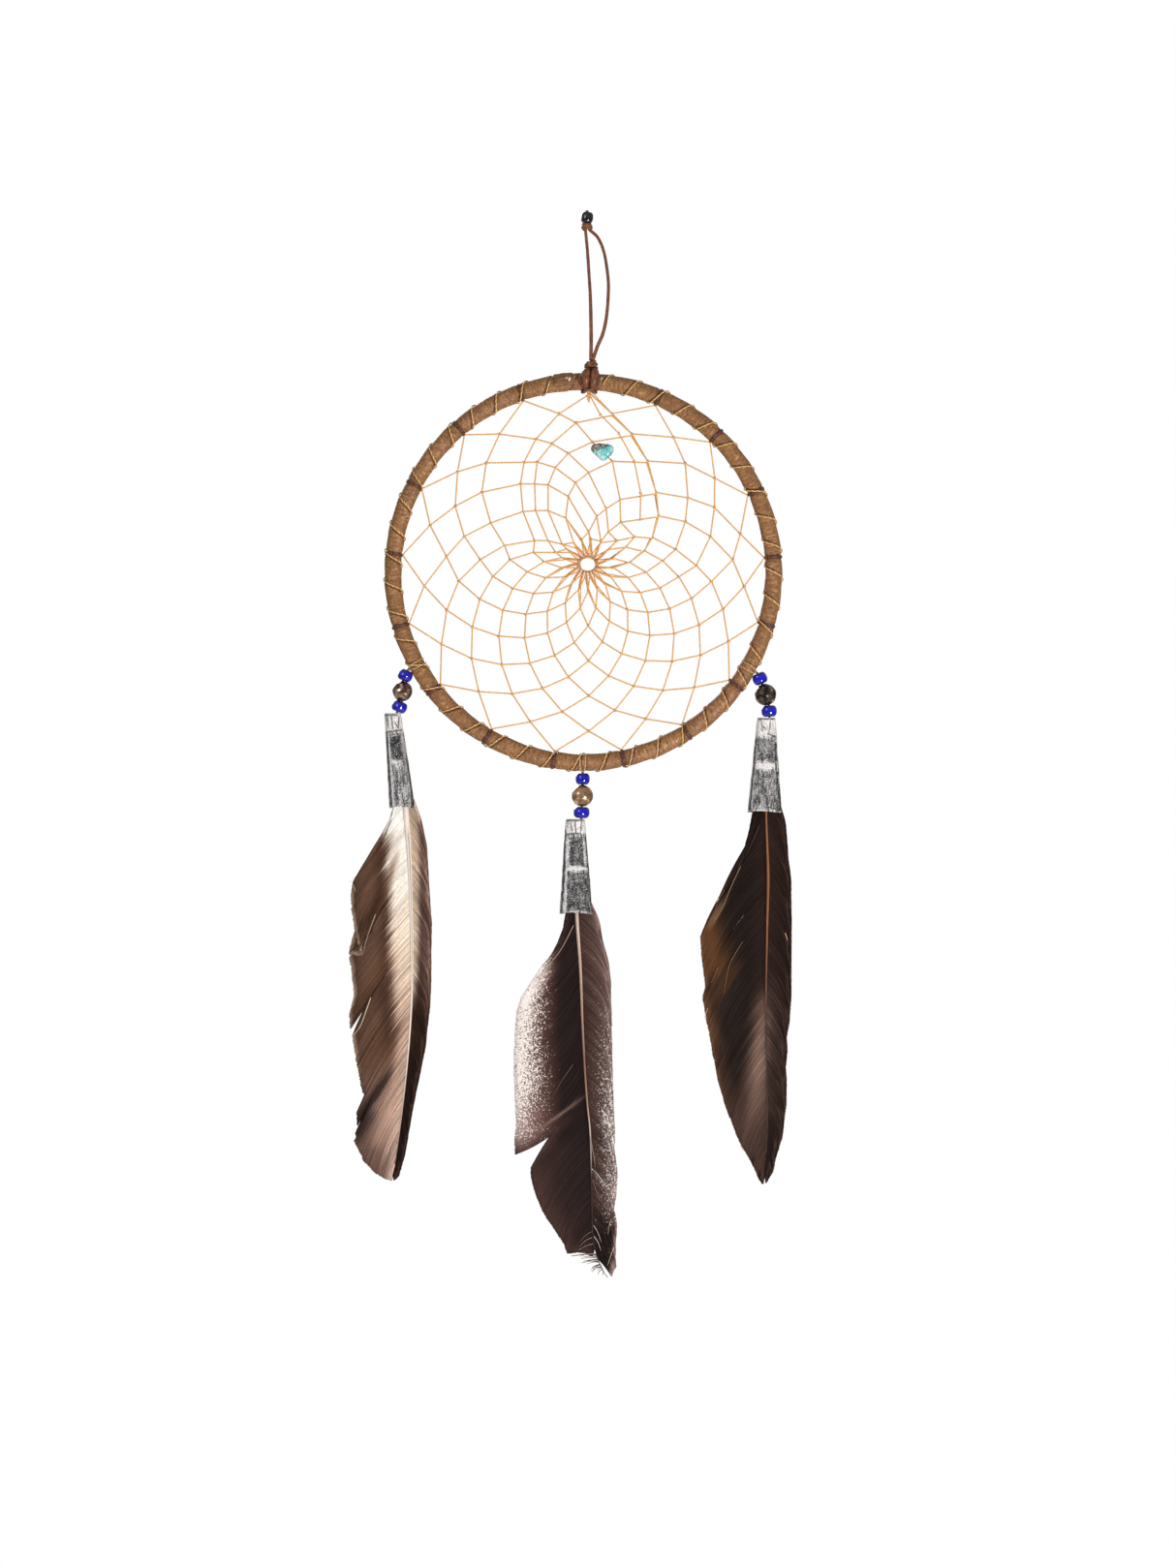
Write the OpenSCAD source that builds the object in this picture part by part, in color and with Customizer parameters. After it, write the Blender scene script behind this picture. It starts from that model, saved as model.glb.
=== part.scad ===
// Dream catcher: a leather-wrapped hoop with a woven web, hung by a cord loop,
// with three beaded pendants that each end in a tin cone and a feather.
// The origin is the point where the cord loop hangs on its nail. +Z is up and
// the front of the hoop faces -Y. Hoop angles run clockwise from the top.

/* [Hoop] */
// Outside diameter of the wrapped hoop
hoop_d = 127; // [110:1:150]
// Diameter of the steel wire ring inside the wrap
core_d = 3.2; // [2.4:0.1:3.6]
// Outside diameter of the leather wrap
wrap_d = 5.7; // [5.2:0.1:6.4]
// Turns of the gold binding thread round the wrap
binding_turns = 43; // [37:2:47]

/* [Web] */
// Number of hitches of the web thread on the hoop
hitches = 17; // [15:2:19]
// Number of woven rounds inside the hoop
rounds = 9; // [7:1:9]
// Diameter of the web thread
web_d = 0.45; // [0.3:0.05:0.5]

/* [Hanger] */
// Height of the hanging point over the hoop
hanger_l = 46; // [40:1:60]
// Diameter of the leather hanging cord
cord_d = 1.0; // [0.8:0.1:1.2]

/* [Pendants] */
// Diameter of the pendant threads
thread_d = 0.8; // [0.6:0.05:0.8]
// Bore of the beads
bead_bore = 1.0; // [1.0:0.05:1.2]
// Length of the tin cones
cone_l = 30; // [26:1:32]

/* [Hidden] */
$fn = 48;

wrap_r = wrap_d / 2;
ring_r = hoop_d / 2 - wrap_r;
hoop_x = -1.5;
hoop_z = -hanger_l - hoop_d / 2;
hang_angle = 1.6;

// Bands of thread that are pulled into the leather
band_floor = wrap_r - 0.3;
band_top = wrap_r + 0.02;
band_w = 1.1;

// Binding thread: it leaves the top free for the hanging hitch
binding_start = 6;
binding_end = 350;
binding_r = wrap_r + 0.35;
binding_half = 0.28;
binding_steps = 12;

// Web: the weave's centre lies a little off the hoop's centre
web_x = -0.1;
web_z = hoop_z + 2.5;
web_step = 360 / hitches;
web_edge_r = ring_r - wrap_r - 0.3;
first_r = 0.89 * web_edge_r;
last_r = 0.145 * web_edge_r;
centre_r = 3.4;
web_gap = 0.28;
web_sides = 5;
chip_round = 3;
chip_hitch = hitches - 1;
// Lobes of the stone chip: x, y and z from its middle, and radius
chip_lobes = [[-2.1, 0, 1.0, 1.3], [2.1, 0.2, 0.7, 1.3], [0.2, -0.2, -1.3, 1.4], [1.4, -0.2, -0.2, 1.6],
              [-0.6, 0.2, 0.6, 1.8]];

// Knots of the hanger
knot_r = 1.7;
collar_r = 2.2;
collar_z = -hanger_l + 2.4;
cord_sides = 8;

// Hanging cord, from the collar up the left strand and down the right strand
left_strand = [[0.9, 0, -41.9], [1.0, -0.1, -36], [0.9, -0.2, -28], [0.7, -0.2, -21],
               [0.3, -0.1, -14.5], [-0.2, 0, -7], [-0.8, 0, -0.4]];
right_strand = [[1.5, 0, -41.9], [3.0, 0.1, -37.5], [4.7, 0.2, -33.5], [5.8, 0.3, -28.5],
                [6.4, 0.3, -22], [6.4, 0.3, -16], [5.2, 0.2, -8], [3.2, 0.1, -3], [0.5, 0, -0.4]];

// Pendant threads: [x, z] points from the hoop's centre, along the axis of each bead
left_route = [[-56.0, -31.2], [-57.4, -34.6], [-57.8, -41.2], [-59.3, -44.5], [-59.3, -47.6]];
middle_route = [[-0.2, -64.0], [-0.2, -67.7], [-0.45, -74.7], [-0.65, -78.4], [-0.65, -81.4]];
right_route = [[55.5, -32.2], [57.0, -35.6], [59.1, -42.4], [59.3, -46.1], [59.3, -49.1]];

// Cones: [top centre x, top width, bottom centre x, bottom width, top depth, bottom depth]
left_cone_size = [-60.6, 5.4, -57.5, 8.2, 3.8, 7.0];
middle_cone_size = [-2.3, 6.2, -2.0, 10.3, 3.8, 7.4];
right_cone_size = [58.2, 6.0, 57.7, 11.1, 3.8, 7.4];
tin_t = 0.4;

// Feathers: [x, z] points of the left edge, the shaft and the right edge, from the origin
left_edge_l = [[-61.4, -184.7], [-64.0, -191], [-68.4, -199], [-74.6, -208], [-75.6, -220], [-75.3, -237],
               [-75.7, -252], [-73.8, -266], [-72.4, -276], [-74.2, -285], [-73.6, -292], [-69.0, -299]];
left_shaft_l = [[-58.6, -176], [-57.6, -188], [-56.6, -206], [-56.0, -222], [-56.0, -238], [-56.7, -254],
                [-58.2, -269], [-59.8, -286], [-61.4, -298], [-62.8, -303.4]];
left_edge_r = [[-55.3, -184.7], [-53.4, -192], [-51.1, -202], [-50.1, -212], [-49.9, -226], [-50.2, -240],
               [-51.1, -252], [-53.0, -266], [-55.8, -278], [-58.0, -291], [-60.0, -301]];
middle_edge_l = [[-7.2, -218.6], [-10.6, -230], [-17.8, -240], [-21.8, -246.5], [-23.4, -255], [-23.0, -266],
                 [-22.8, -279], [-23.4, -294.8], [-14.6, -290], [-8.1, -282.4], [-3.4, -277],
                 [-8.8, -285], [-17.6, -296], [-18.4, -300.5], [-16.4, -307], [-13, -314], [-8.1, -322],
                 [-5.6, -327], [0.4, -331]];
middle_shaft_l = [[-2.1, -210], [-3.2, -222], [-2.5, -238], [-1.5, -254.5], [-0.9, -270.7], [0.3, -286.8],
                  [1.1, -301], [1.6, -316], [3.2, -327], [6.6, -334.4]];
middle_edge_r = [[0.4, -218.6], [4.6, -226], [6.8, -234], [7.2, -248], [7.6, -262.6], [8.4, -282.8],
                 [9.3, -299], [7.4, -312], [8.9, -321], [8.6, -331]];
right_edge_l = [[52.6, -186.3], [50.6, -197], [46.3, -207], [39.8, -216], [36.0, -225], [36.7, -236],
                [37.9, -252], [40.6, -266], [44.4, -281], [49.8, -295], [52.8, -301]];
right_shaft_l = [[57.6, -178], [56.8, -190], [57.0, -210], [56.8, -232], [56.7, -254], [57.1, -276],
                 [56.3, -294], [55.3, -304.4]];
right_edge_r = [[60.9, -186.3], [63.4, -193], [64.6, -205], [64.9, -223], [64.5, -246], [63.2, -266],
                [62.9, -279], [60.8, -293], [57.4, -302.5]];
shaft_top_r = 1.25;
shaft_tip_r = 0.25;
vane_t = 1.2;

// ---------- geometry helpers ----------

function unit(v) = v / norm(v);
function wrap_angle(a) = let (b = (a + 180) % 360) (b < 0 ? b + 360 : b) - 180;

// Place children at a hoop angle: local +Z points outward and local +X along the hoop
module at_hoop(angle) {
    translate([hoop_x, 0, hoop_z]) rotate([0, angle, 0]) translate([0, 0, ring_r]) children();
}

// A band round the hoop's tube
module tube_band(angle, inner, outer, width) {
    at_hoop(angle) rotate([0, 90, 0]) rotate_extrude()
        translate([inner, -width / 2]) square([outer - inner, width]);
}

// A closed tube along points, with a radius at each and the section turned by the normals
module sweep(points, normals, radii, sides) {
    n = len(points);
    function along(i) = unit(points[min(i + 1, n - 1)] - points[max(i - 1, 0)]);
    ring = [for (i = [0:n - 1]) let (t = along(i), b = unit(cross(t, normals[i])), a = cross(b, t))
        for (k = [0:sides - 1]) let (w = 360 * (k + 0.5) / sides)
            points[i] + radii[i] * (cos(w) * a + sin(w) * b)];
    walls = [for (i = [0:n - 2]) for (k = [0:sides - 1])
        let (p = i * sides + k, q = i * sides + (k + 1) % sides)
            for (f = [[p, p + sides, q], [q, p + sides, q + sides]]) f];
    caps = [[for (k = [0:sides - 1]) k], [for (k = [sides - 1:-1:0]) (n - 1) * sides + k]];
    polyhedron(points = ring, faces = concat(walls, caps), convexity = 10);
}

// The same, for a route that lies near the XZ plane
module flat_sweep(points, radii, sides) sweep(points, [for (p = points) [0, -1, 0]], radii, sides);

// A smooth curve through the points of a list
function curve(points, steps) = let (n = len(points)) concat(
    [for (i = [0:n - 2]) for (s = [0:steps - 1])
        let (t = s / steps, a = points[max(i - 1, 0)], b = points[i], c = points[i + 1],
             d = points[min(i + 2, n - 1)])
            0.5 * (2 * b + t * (c - a) + t * t * (2 * a - 5 * b + 4 * c - d)
                + t * t * t * (3 * b - a - 3 * c + d))],
    [points[n - 1]]);

// A round bar between two points
module bar(a, b, r1, r2) {
    v = b - a;
    translate(a) rotate([0, acos(v[2] / norm(v)), atan2(v[1], v[0])])
        cylinder(h = norm(v), r1 = r1, r2 = r2);
}

// ---------- hanger ----------

module hanger_cord() color("saddlebrown") {
    left = curve(left_strand, 3);
    right = curve(right_strand, 3);
    flat_sweep(left, [for (p = left) cord_d / 2], cord_sides);
    flat_sweep(right, [for (p = right) cord_d / 2], cord_sides);
}

// A knot pulled tight into a flattened ball
module round_knot(r, half) rotate_extrude() intersection() {
    translate([r - half, 0]) circle(half);
    translate([0, -half]) square([r, 2 * half]);
}

module top_knot() color("saddlebrown") {
    translate([-0.3, 0, 0.62]) round_knot(knot_r, 1);
    translate([-0.3, 0, 0.6]) cylinder(h = 5.2, r = 0.55);
}

module top_bead() color([0.03, 0.03, 0.04]) translate([-0.3, 0, 3.5]) rotate_extrude()
    difference() {
        translate([0.25, 0]) circle(1.7);
        translate([-2, -2]) square([2.6, 4]);
    }

module collar_knot() color("saddlebrown") translate([1.1, 0, collar_z]) round_knot(collar_r, 1.05);

// Lark's head that holds the hoop: two turns round the tube and a neck up to the collar
module hoop_hitch() color("saddlebrown") {
    for (side = [-1, 1])
        at_hoop(hang_angle + side * 1.7) rotate([0, 90, 0]) rotate_extrude()
            translate([wrap_r + 0.55, 0]) circle(0.5);
    difference() {
        translate([1.1, 0, -hanger_l - 0.5]) cylinder(h = 1.5, r = 1.5);
        at_hoop(hang_angle) rotate([0, 90, 0]) translate([0, 0, -4]) cylinder(h = 8, r = wrap_r + 0.3);
    }
    at_hoop(hang_angle) rotate([45, 0, 0]) rotate([0, 90, 0])
        translate([-wrap_r - 0.75, 0, -1.8]) cylinder(h = 3.6, r = 0.45);
}

// ---------- hoop ----------

module hoop_core() color("silver") translate([hoop_x, 0, hoop_z]) rotate([90, 0, 0])
    rotate_extrude($fn = 120) translate([ring_r, 0]) circle(core_d / 2);

module leather_wrap() color("peru") difference() {
    translate([hoop_x, 0, hoop_z]) rotate([90, 0, 0]) rotate_extrude($fn = 120)
        translate([ring_r, 0]) difference() {
            circle(wrap_r);
            circle(core_d / 2);
        }
    for (j = [0:hitches - 1])
        tube_band(web_angle(j), band_floor, wrap_r + 1, band_w + 0.06);
    for (a = tie_angles, side = [-1, 1])
        tube_band(a + side * 0.8, band_floor, wrap_r + 1, 0.6);
}

// End of the leather strip, glued down beside the hanging hitch
module wrap_tail() color("sienna") intersection() {
    tube_band(-5.7, wrap_r + 0.06, wrap_r + 0.55, 5.6);
    at_hoop(-5.7) translate([-4, -5, -0.4]) cube([8, 5.6, 6]);
}

module binding_thread() color("goldenrod") {
    count = round(binding_turns * binding_steps * (binding_end - binding_start) / 360);
    angles = [for (i = [0:count]) binding_start + (binding_end - binding_start) * i / count];
    out = [for (a = angles) [sin(a), 0, cos(a)]];
    normals = [for (i = [0:count]) let (p = -binding_turns * angles[i])
        cos(p) * out[i] + [0, -sin(p), 0]];
    points = [for (i = [0:count])
        [hoop_x, 0, hoop_z] + ring_r * out[i] + binding_r * normals[i]];
    sweep(points, normals, [for (p = points) binding_half], 4);
}

// ---------- web ----------

// Angle of the web at a position counted in hitches from the top
function web_angle(j) = let (a = 0.3 + web_step * j) a + 1.9 * cos(a - 10);

// The weave is drawn aside over the top of the web, most in its middle rounds
function pull(k) = k == 0 ? 0 : k <= 5 ? 0.5 + 0.1 * k : 1 - 0.15 * (k - 5);
function drawn_angle(k, a) = a - 12 * pull(k) * exp(-pow(wrap_angle(a - 10) / 34, 2));

function round_r(k) = k == 0 ? web_edge_r
    : k > rounds ? centre_r
    : first_r - (first_r - last_r) * (k - 1) / (rounds - 1);

// Node j of round k, where the thread is hitched to the round before
function web_point(k, j, y) = let (
    a = drawn_angle(k, web_angle(j + k / 2)),
    r = round_r(k),
    inward = k == 0 ? 0 : pow(1 - r / web_edge_r, 0.7),
    x = hoop_x + (web_x - hoop_x) * inward,
    z = hoop_z + (web_z - hoop_z) * inward)
    [x + r * sin(a), y, z + r * cos(a)];

function web_layer(k) = k % 2 == 0 ? -web_gap : web_gap;

// Where round k is closed beside its first node, before the thread goes on to the next round
function closing_point(k) = let (p = web_point(k, 0, web_layer(k + 1)))
    p + 0.62 * unit([web_x, p[1], web_z] - p);

module web_hitches() color("saddlebrown")
    for (j = [0:hitches - 1]) tube_band(web_angle(j), band_floor, band_top, band_w);

// One thread from hitch to hitch, bent where the next round pulls on it
module web_thread() color("burlywood") {
    points = [for (k = [0:rounds]) each concat(
        [for (j = [0:hitches - 1], step = [0, 1]) web_point(k + step, j, web_layer(k))],
        k < rounds ? [closing_point(k)] : [])];
    flat_sweep(points, [for (p = points) web_d / 2], web_sides);
}

module centre_ring() color("sienna") translate([web_x, 0, web_z]) rotate([90, 0, 0])
    rotate_extrude() translate([2.65, 0]) circle(0.4);

// A tumbled stone chip, drilled and strung on one stretch of the web
chip_a = web_point(chip_round, chip_hitch, web_layer(chip_round));
chip_b = web_point(chip_round + 1, chip_hitch, web_layer(chip_round));
chip_v = chip_b - chip_a;
module turquoise_chip() color("mediumturquoise")
    translate((chip_a + chip_b) / 2)
        difference() {
            hull() for (lobe = chip_lobes)
                translate([lobe[0], lobe[1], lobe[2]]) sphere(lobe[3], $fn = 16);
            rotate([0, atan2(chip_v[0], chip_v[2]), 0])
                cylinder(h = 14, r = web_d / 2 + 0.1, center = true);
        }

// ---------- pendants ----------

tie_angles = [240.9, 180.2, 120.1];
routes = [left_route, middle_route, right_route];
bead_sizes = [[4.5, 3.4, 6.3, 4.7], [4.3, 3.5, 6.75, 4.85], [4.5, 3.5, 6.8, 4.7]];
cones = [left_cone_size, middle_cone_size, right_cone_size];
feathers = [[left_edge_l, left_shaft_l, left_edge_r], [middle_edge_l, middle_shaft_l, middle_edge_r],
            [right_edge_l, right_shaft_l, right_edge_r]];

function route(i) = [for (p = routes[i]) [hoop_x + p[0], 0, hoop_z + p[1]]];

// Two turns of thread tied round the hoop over the pendant
module tie(i) color("tan") for (side = [-1, 1])
    tube_band(tie_angles[i] + side * 0.8, band_floor, band_top, 0.55);

// Knot that the pendant hangs from, in the mouth of the upper bead
module tie_knot(i) color("tan") translate(route(i)[0]) sphere(0.44);

// Thread through the beads, with its stopper knot inside the cone
module thread(i) color("tan") {
    p = route(i);
    top = p[0] + 0.5 * unit(p[1] - p[0]);
    bar(top, p[1], thread_d / 2, thread_d / 2);
    for (k = [1:3]) {
        bar(p[k], p[k + 1], thread_d / 2, thread_d / 2);
        translate(p[k]) sphere(thread_d / 2 + 0.03);
    }
    translate(p[4]) sphere(1.05);
}

// A bead that spins on one stretch of the thread
module bead(i, k, d, h) {
    p = route(i);
    v = p[k + 1] - p[k];
    translate((p[k] + p[k + 1]) / 2) rotate([0, atan2(v[0], v[2]), 0]) rotate_extrude()
        difference() {
            intersection() {
                translate([(d - h) / 2, 0]) circle(h / 2);
                translate([0, -h / 2 + 0.06]) square([d, h - 0.12]);
            }
            translate([-d, -h]) square([d + bead_bore / 2, 2 * h]);
        }
}
module upper_bead(i) color("mediumblue") bead(i, 0, bead_sizes[i][0], bead_sizes[i][1]);
module metal_bead(i) color("dimgray") bead(i, 1, bead_sizes[i][2], bead_sizes[i][2]);
module lower_bead(i) color("mediumblue") bead(i, 2, bead_sizes[i][3], bead_sizes[i][1]);

// Level of the cone's top, just under the lower bead
function cone_top(i) = route(i)[3][2] - 0.35;

// The cone's outer shape, or its inner shape when grown by a negative amount
module cone_body(i, grow) {
    c = cones[i];
    lean = (c[2] - c[0]) / cone_l;
    top = cone_top(i);
    multmatrix([[1, 0, -lean, hoop_x + c[0] + lean * top], [0, 1, 0, 0], [0, 0, 1, 0]])
        translate([0, 0, top - cone_l]) scale([1, (c[4] + c[5]) / (c[1] + c[3]), 1])
            cylinder(h = cone_l, r1 = c[3] / 2 + grow, r2 = c[1] / 2 + grow);
}

// Rolled tin cone with a closed, drilled top
module cone(i) color("lightgray") {
    p = route(i)[4];
    difference() {
        cone_body(i, 0);
        intersection() {
            cone_body(i, -tin_t);
            translate([-200, -20, cone_top(i) - cone_l - 1]) cube([400, 40, cone_l + 0.5]);
        }
        translate([p[0], 0, cone_top(i) - 2]) cylinder(h = 4, r = thread_d / 2 + 0.08);
    }
}

// Glue cast round the quill in the mouth of the cone
module glue_plug(i) color("wheat") intersection() {
    cone_body(i, -tin_t);
    translate([-200, -20, cone_top(i) - cone_l + 1]) cube([400, 40, 9]);
}

function shaft_points(i) = [for (p = feathers[i][1]) [p[0], 0, p[1]]];
function shaft_r(i, k) = shaft_top_r
    + (shaft_tip_r - shaft_top_r) * k / (len(feathers[i][1]) - 1);

module feather_shaft(i) color("antiquewhite")
    flat_sweep(shaft_points(i), [for (k = [0:len(feathers[i][1]) - 1]) shaft_r(i, k)], cord_sides);

// The vane's two halves, each from its outer edge in to the shaft
module feather_vane(i) color([0.25, 0.18, 0.15]) {
    shaft = feathers[i][1];
    for (side = [0, 2]) {
        edge = curve(feathers[i][side], 3);
        inner = [for (k = [len(shaft) - 1:-1:1]) if (shaft[k][1] < edge[0][1])
            shaft[k] + [(side - 1) * (shaft_r(i, k) + 0.05), 0]];
        top = [inner[len(inner) - 1][0], edge[0][1]];
        rotate([90, 0, 0]) linear_extrude(vane_t, center = true)
            polygon(concat(edge, inner, [top]));
    }
}

hanger_cord();
top_knot();
top_bead();
collar_knot();
hoop_hitch();
hoop_core();
leather_wrap();
wrap_tail();
binding_thread();
web_hitches();
web_thread();
centre_ring();
turquoise_chip();
tie(0);  // left_tie
tie_knot(0);  // left_tie_knot
thread(0);  // left_thread
upper_bead(0);  // left_upper_bead
metal_bead(0);  // left_metal_bead
lower_bead(0);  // left_lower_bead
cone(0);  // left_cone
glue_plug(0);  // left_glue_plug
feather_shaft(0);  // left_feather_shaft
feather_vane(0);  // left_feather_vane
tie(1);  // middle_tie
tie_knot(1);  // middle_tie_knot
thread(1);  // middle_thread
upper_bead(1);  // middle_upper_bead
metal_bead(1);  // middle_metal_bead
lower_bead(1);  // middle_lower_bead
cone(1);  // middle_cone
glue_plug(1);  // middle_glue_plug
feather_shaft(1);  // middle_feather_shaft
feather_vane(1);  // middle_feather_vane
tie(2);  // right_tie
tie_knot(2);  // right_tie_knot
thread(2);  // right_thread
upper_bead(2);  // right_upper_bead
metal_bead(2);  // right_metal_bead
lower_bead(2);  // right_lower_bead
cone(2);  // right_cone
glue_plug(2);  // right_glue_plug
feather_shaft(2);  // right_feather_shaft
feather_vane(2);  // right_feather_vane
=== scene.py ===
# The looks of the dream catcher. Lengths here are in millimetres until a mesh is made.
import math

import bpy
import bmesh
import numpy as np
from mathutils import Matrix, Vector


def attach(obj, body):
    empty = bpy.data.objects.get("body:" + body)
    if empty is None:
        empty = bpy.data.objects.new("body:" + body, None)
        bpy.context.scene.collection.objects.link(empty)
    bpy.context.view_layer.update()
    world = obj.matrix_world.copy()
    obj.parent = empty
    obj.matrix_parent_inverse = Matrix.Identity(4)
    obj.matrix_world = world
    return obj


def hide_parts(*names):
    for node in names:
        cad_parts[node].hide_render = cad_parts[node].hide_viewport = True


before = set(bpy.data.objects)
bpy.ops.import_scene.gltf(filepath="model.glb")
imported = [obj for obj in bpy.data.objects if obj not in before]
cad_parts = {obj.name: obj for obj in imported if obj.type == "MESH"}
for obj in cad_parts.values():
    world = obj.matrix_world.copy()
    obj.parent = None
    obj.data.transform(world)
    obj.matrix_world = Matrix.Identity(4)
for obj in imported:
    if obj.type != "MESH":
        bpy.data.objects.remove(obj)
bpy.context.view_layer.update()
rng = np.random.default_rng(5)
scene = bpy.context.scene
SIDES = ("left", "middle", "right")

# ---------- camera, lights and floor ----------

HEIGHT = 499.6  # of the view at the hoop
DISTANCE = 2000.0
SENSOR = 36
VIEW_Z = -176.98  # the height the camera looks at
cam = bpy.data.objects.new("camera", bpy.data.cameras.new("camera"))
cam.data.lens = SENSOR * DISTANCE / HEIGHT
cam.data.clip_end = 20
cam.location = (0, -DISTANCE / 1000, VIEW_Z / 1000)
cam.rotation_euler = (math.radians(90), 0, 0)
scene.collection.objects.link(cam)
scene.camera = cam
scene.view_settings.view_transform = "Standard"


def lamp(name, at, look_at, size, power, colour=(1, 1, 1)):
    data = bpy.data.lights.new(name, "AREA")
    data.shape, data.size, data.energy, data.color = "DISK", size, power, colour
    o = bpy.data.objects.new(name, data)
    o.location = at
    o.rotation_euler = (Vector(look_at) - Vector(at)).to_track_quat("-Z", "Y").to_euler()
    scene.collection.objects.link(o)


MIDDLE = (0, 0, -0.18)
lamp("key", (0.75, -1.35, -0.75), MIDDLE, 0.16, 19, (1, 0.97, 0.93))
lamp("fill", (-1.1, -1.3, 0.45), MIDDLE, 0.9, 7, (0.95, 0.97, 1))
lamp("back", (-0.6, 1.6, 0.5), MIDDLE, 1.0, 16)

world = bpy.data.worlds.new("studio")
world.use_nodes = True
wt = world.node_tree
white, room = wt.nodes["Background"], wt.nodes.new("ShaderNodeBackground")
white.inputs["Color"].default_value = (1, 1, 1, 1)
room.inputs["Strength"].default_value = 0.42
# the room is darker below than above
height, level = wt.nodes.new("ShaderNodeTexCoord"), wt.nodes.new("ShaderNodeSeparateXYZ")
rise = wt.nodes.new("ShaderNodeValToRGB")
for stop, at, colour in zip(rise.color_ramp.elements, (0.25, 0.75), ((0.34, 0.33, 0.32, 1), (1, 1, 1, 1))):
    stop.position, stop.color = at, colour
half = wt.nodes.new("ShaderNodeMath")
half.operation = "MULTIPLY_ADD"
half.inputs[1].default_value = half.inputs[2].default_value = 0.5
wt.links.new(height.outputs["Generated"], level.inputs[0])
wt.links.new(level.outputs["Z"], half.inputs[0])
wt.links.new(half.outputs[0], rise.inputs[0])
wt.links.new(rise.outputs[0], room.inputs["Color"])
seen, pick = wt.nodes.new("ShaderNodeLightPath"), wt.nodes.new("ShaderNodeMixShader")
wt.links.new(seen.outputs["Is Camera Ray"], pick.inputs[0])
wt.links.new(room.outputs[0], pick.inputs[1])
wt.links.new(white.outputs[0], pick.inputs[2])
wt.links.new(pick.outputs[0], wt.nodes["World Output"].inputs["Surface"])
scene.world = world

# ---------- numbers that follow the CAD ----------

HOOP = np.array([-1.5, 0.0, -109.5])
RING_R, WRAP_R, TURNS = 60.65, 2.85, 43
WEB_C = np.array([-0.1, 0.0, -107.0])
HITCHES, ROUNDS, WEB_EDGE = 17, 9, 57.5
LAYER = 0.28  # how far the web thread lies from its middle plane, front or back
BAND_TURNS = 2.75
THREAD_R = 0.235
THREAD_PITCH = 5.5  # the twist of the plies, in radians to a millimetre
TIES = dict(left=240.9, middle=180.2, right=120.1)
ROUTES = dict(
    left=[(-57.5, -140.7), (-58.9, -144.1), (-59.3, -150.7), (-60.8, -154.0), (-60.8, -157.1)],
    middle=[(-1.7, -173.5), (-1.7, -177.2), (-1.95, -184.2), (-2.15, -187.9), (-2.15, -190.9)],
    right=[(54.0, -141.7), (55.5, -145.1), (57.6, -151.9), (57.8, -155.6), (57.8, -158.6)],
)
BEADS = dict(left=(4.5, 3.4, 6.3, 4.7), middle=(4.3, 3.5, 6.75, 4.85), right=(4.5, 3.5, 6.8, 4.7))
CONES = dict(
    left=(-62.25, 5.6, -59.1, 8.6, 3.8, 7.0),
    middle=(-4.0, 6.4, -3.75, 10.7, 3.8, 7.4),
    right=(56.7, 6.0, 56.2, 11.1, 3.8, 7.4),
)
CONE_L, HOLE_R = 30.0, 0.66
FLOOR_Z, FLOOR_HALF = -900.0, 1.5

# ---------- meshes ----------


def unit(v):
    return v / np.maximum(np.linalg.norm(v, axis=-1, keepdims=True), 1e-12)


def spline(points, steps=8):
    """A smooth curve through points"""
    p = np.asarray(points, float)
    q = np.vstack([2 * p[0] - p[1], p, 2 * p[-1] - p[-2]])
    t = np.linspace(0, 1, steps, endpoint=False)[:, None]
    parts = [
        0.5 * (2 * b + t * (c - a) + t * t * (2 * a - 5 * b + 4 * c - d) + t**3 * (3 * b - a - 3 * c + d))
        for a, b, c, d in zip(q, q[1:], q[2:], q[3:])
    ]
    return np.vstack(parts + [p[-1:]])


def lengths(p):
    return np.concatenate([[0], np.cumsum(np.linalg.norm(np.diff(p, axis=0), axis=1))])


def even(points, gap):
    """The same line with its points evenly spaced"""
    p = np.asarray(points, float)
    s = lengths(p)
    t = np.linspace(0, s[-1], max(3, int(round(s[-1] / gap)) + 1))
    return np.stack([np.interp(t, s, p[:, k]) for k in range(p.shape[1])], 1)


def turns(count):
    """Angles once round, evenly spaced"""
    return np.arange(count) * 2 * math.pi / count


def plies(path, pitch, sides=8):
    """How high each side of a twisted thread stands, from 0 to 1"""
    return 0.5 + 0.5 * np.cos(2 * turns(sides)[None] - pitch * lengths(np.asarray(path))[:, None])


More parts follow.
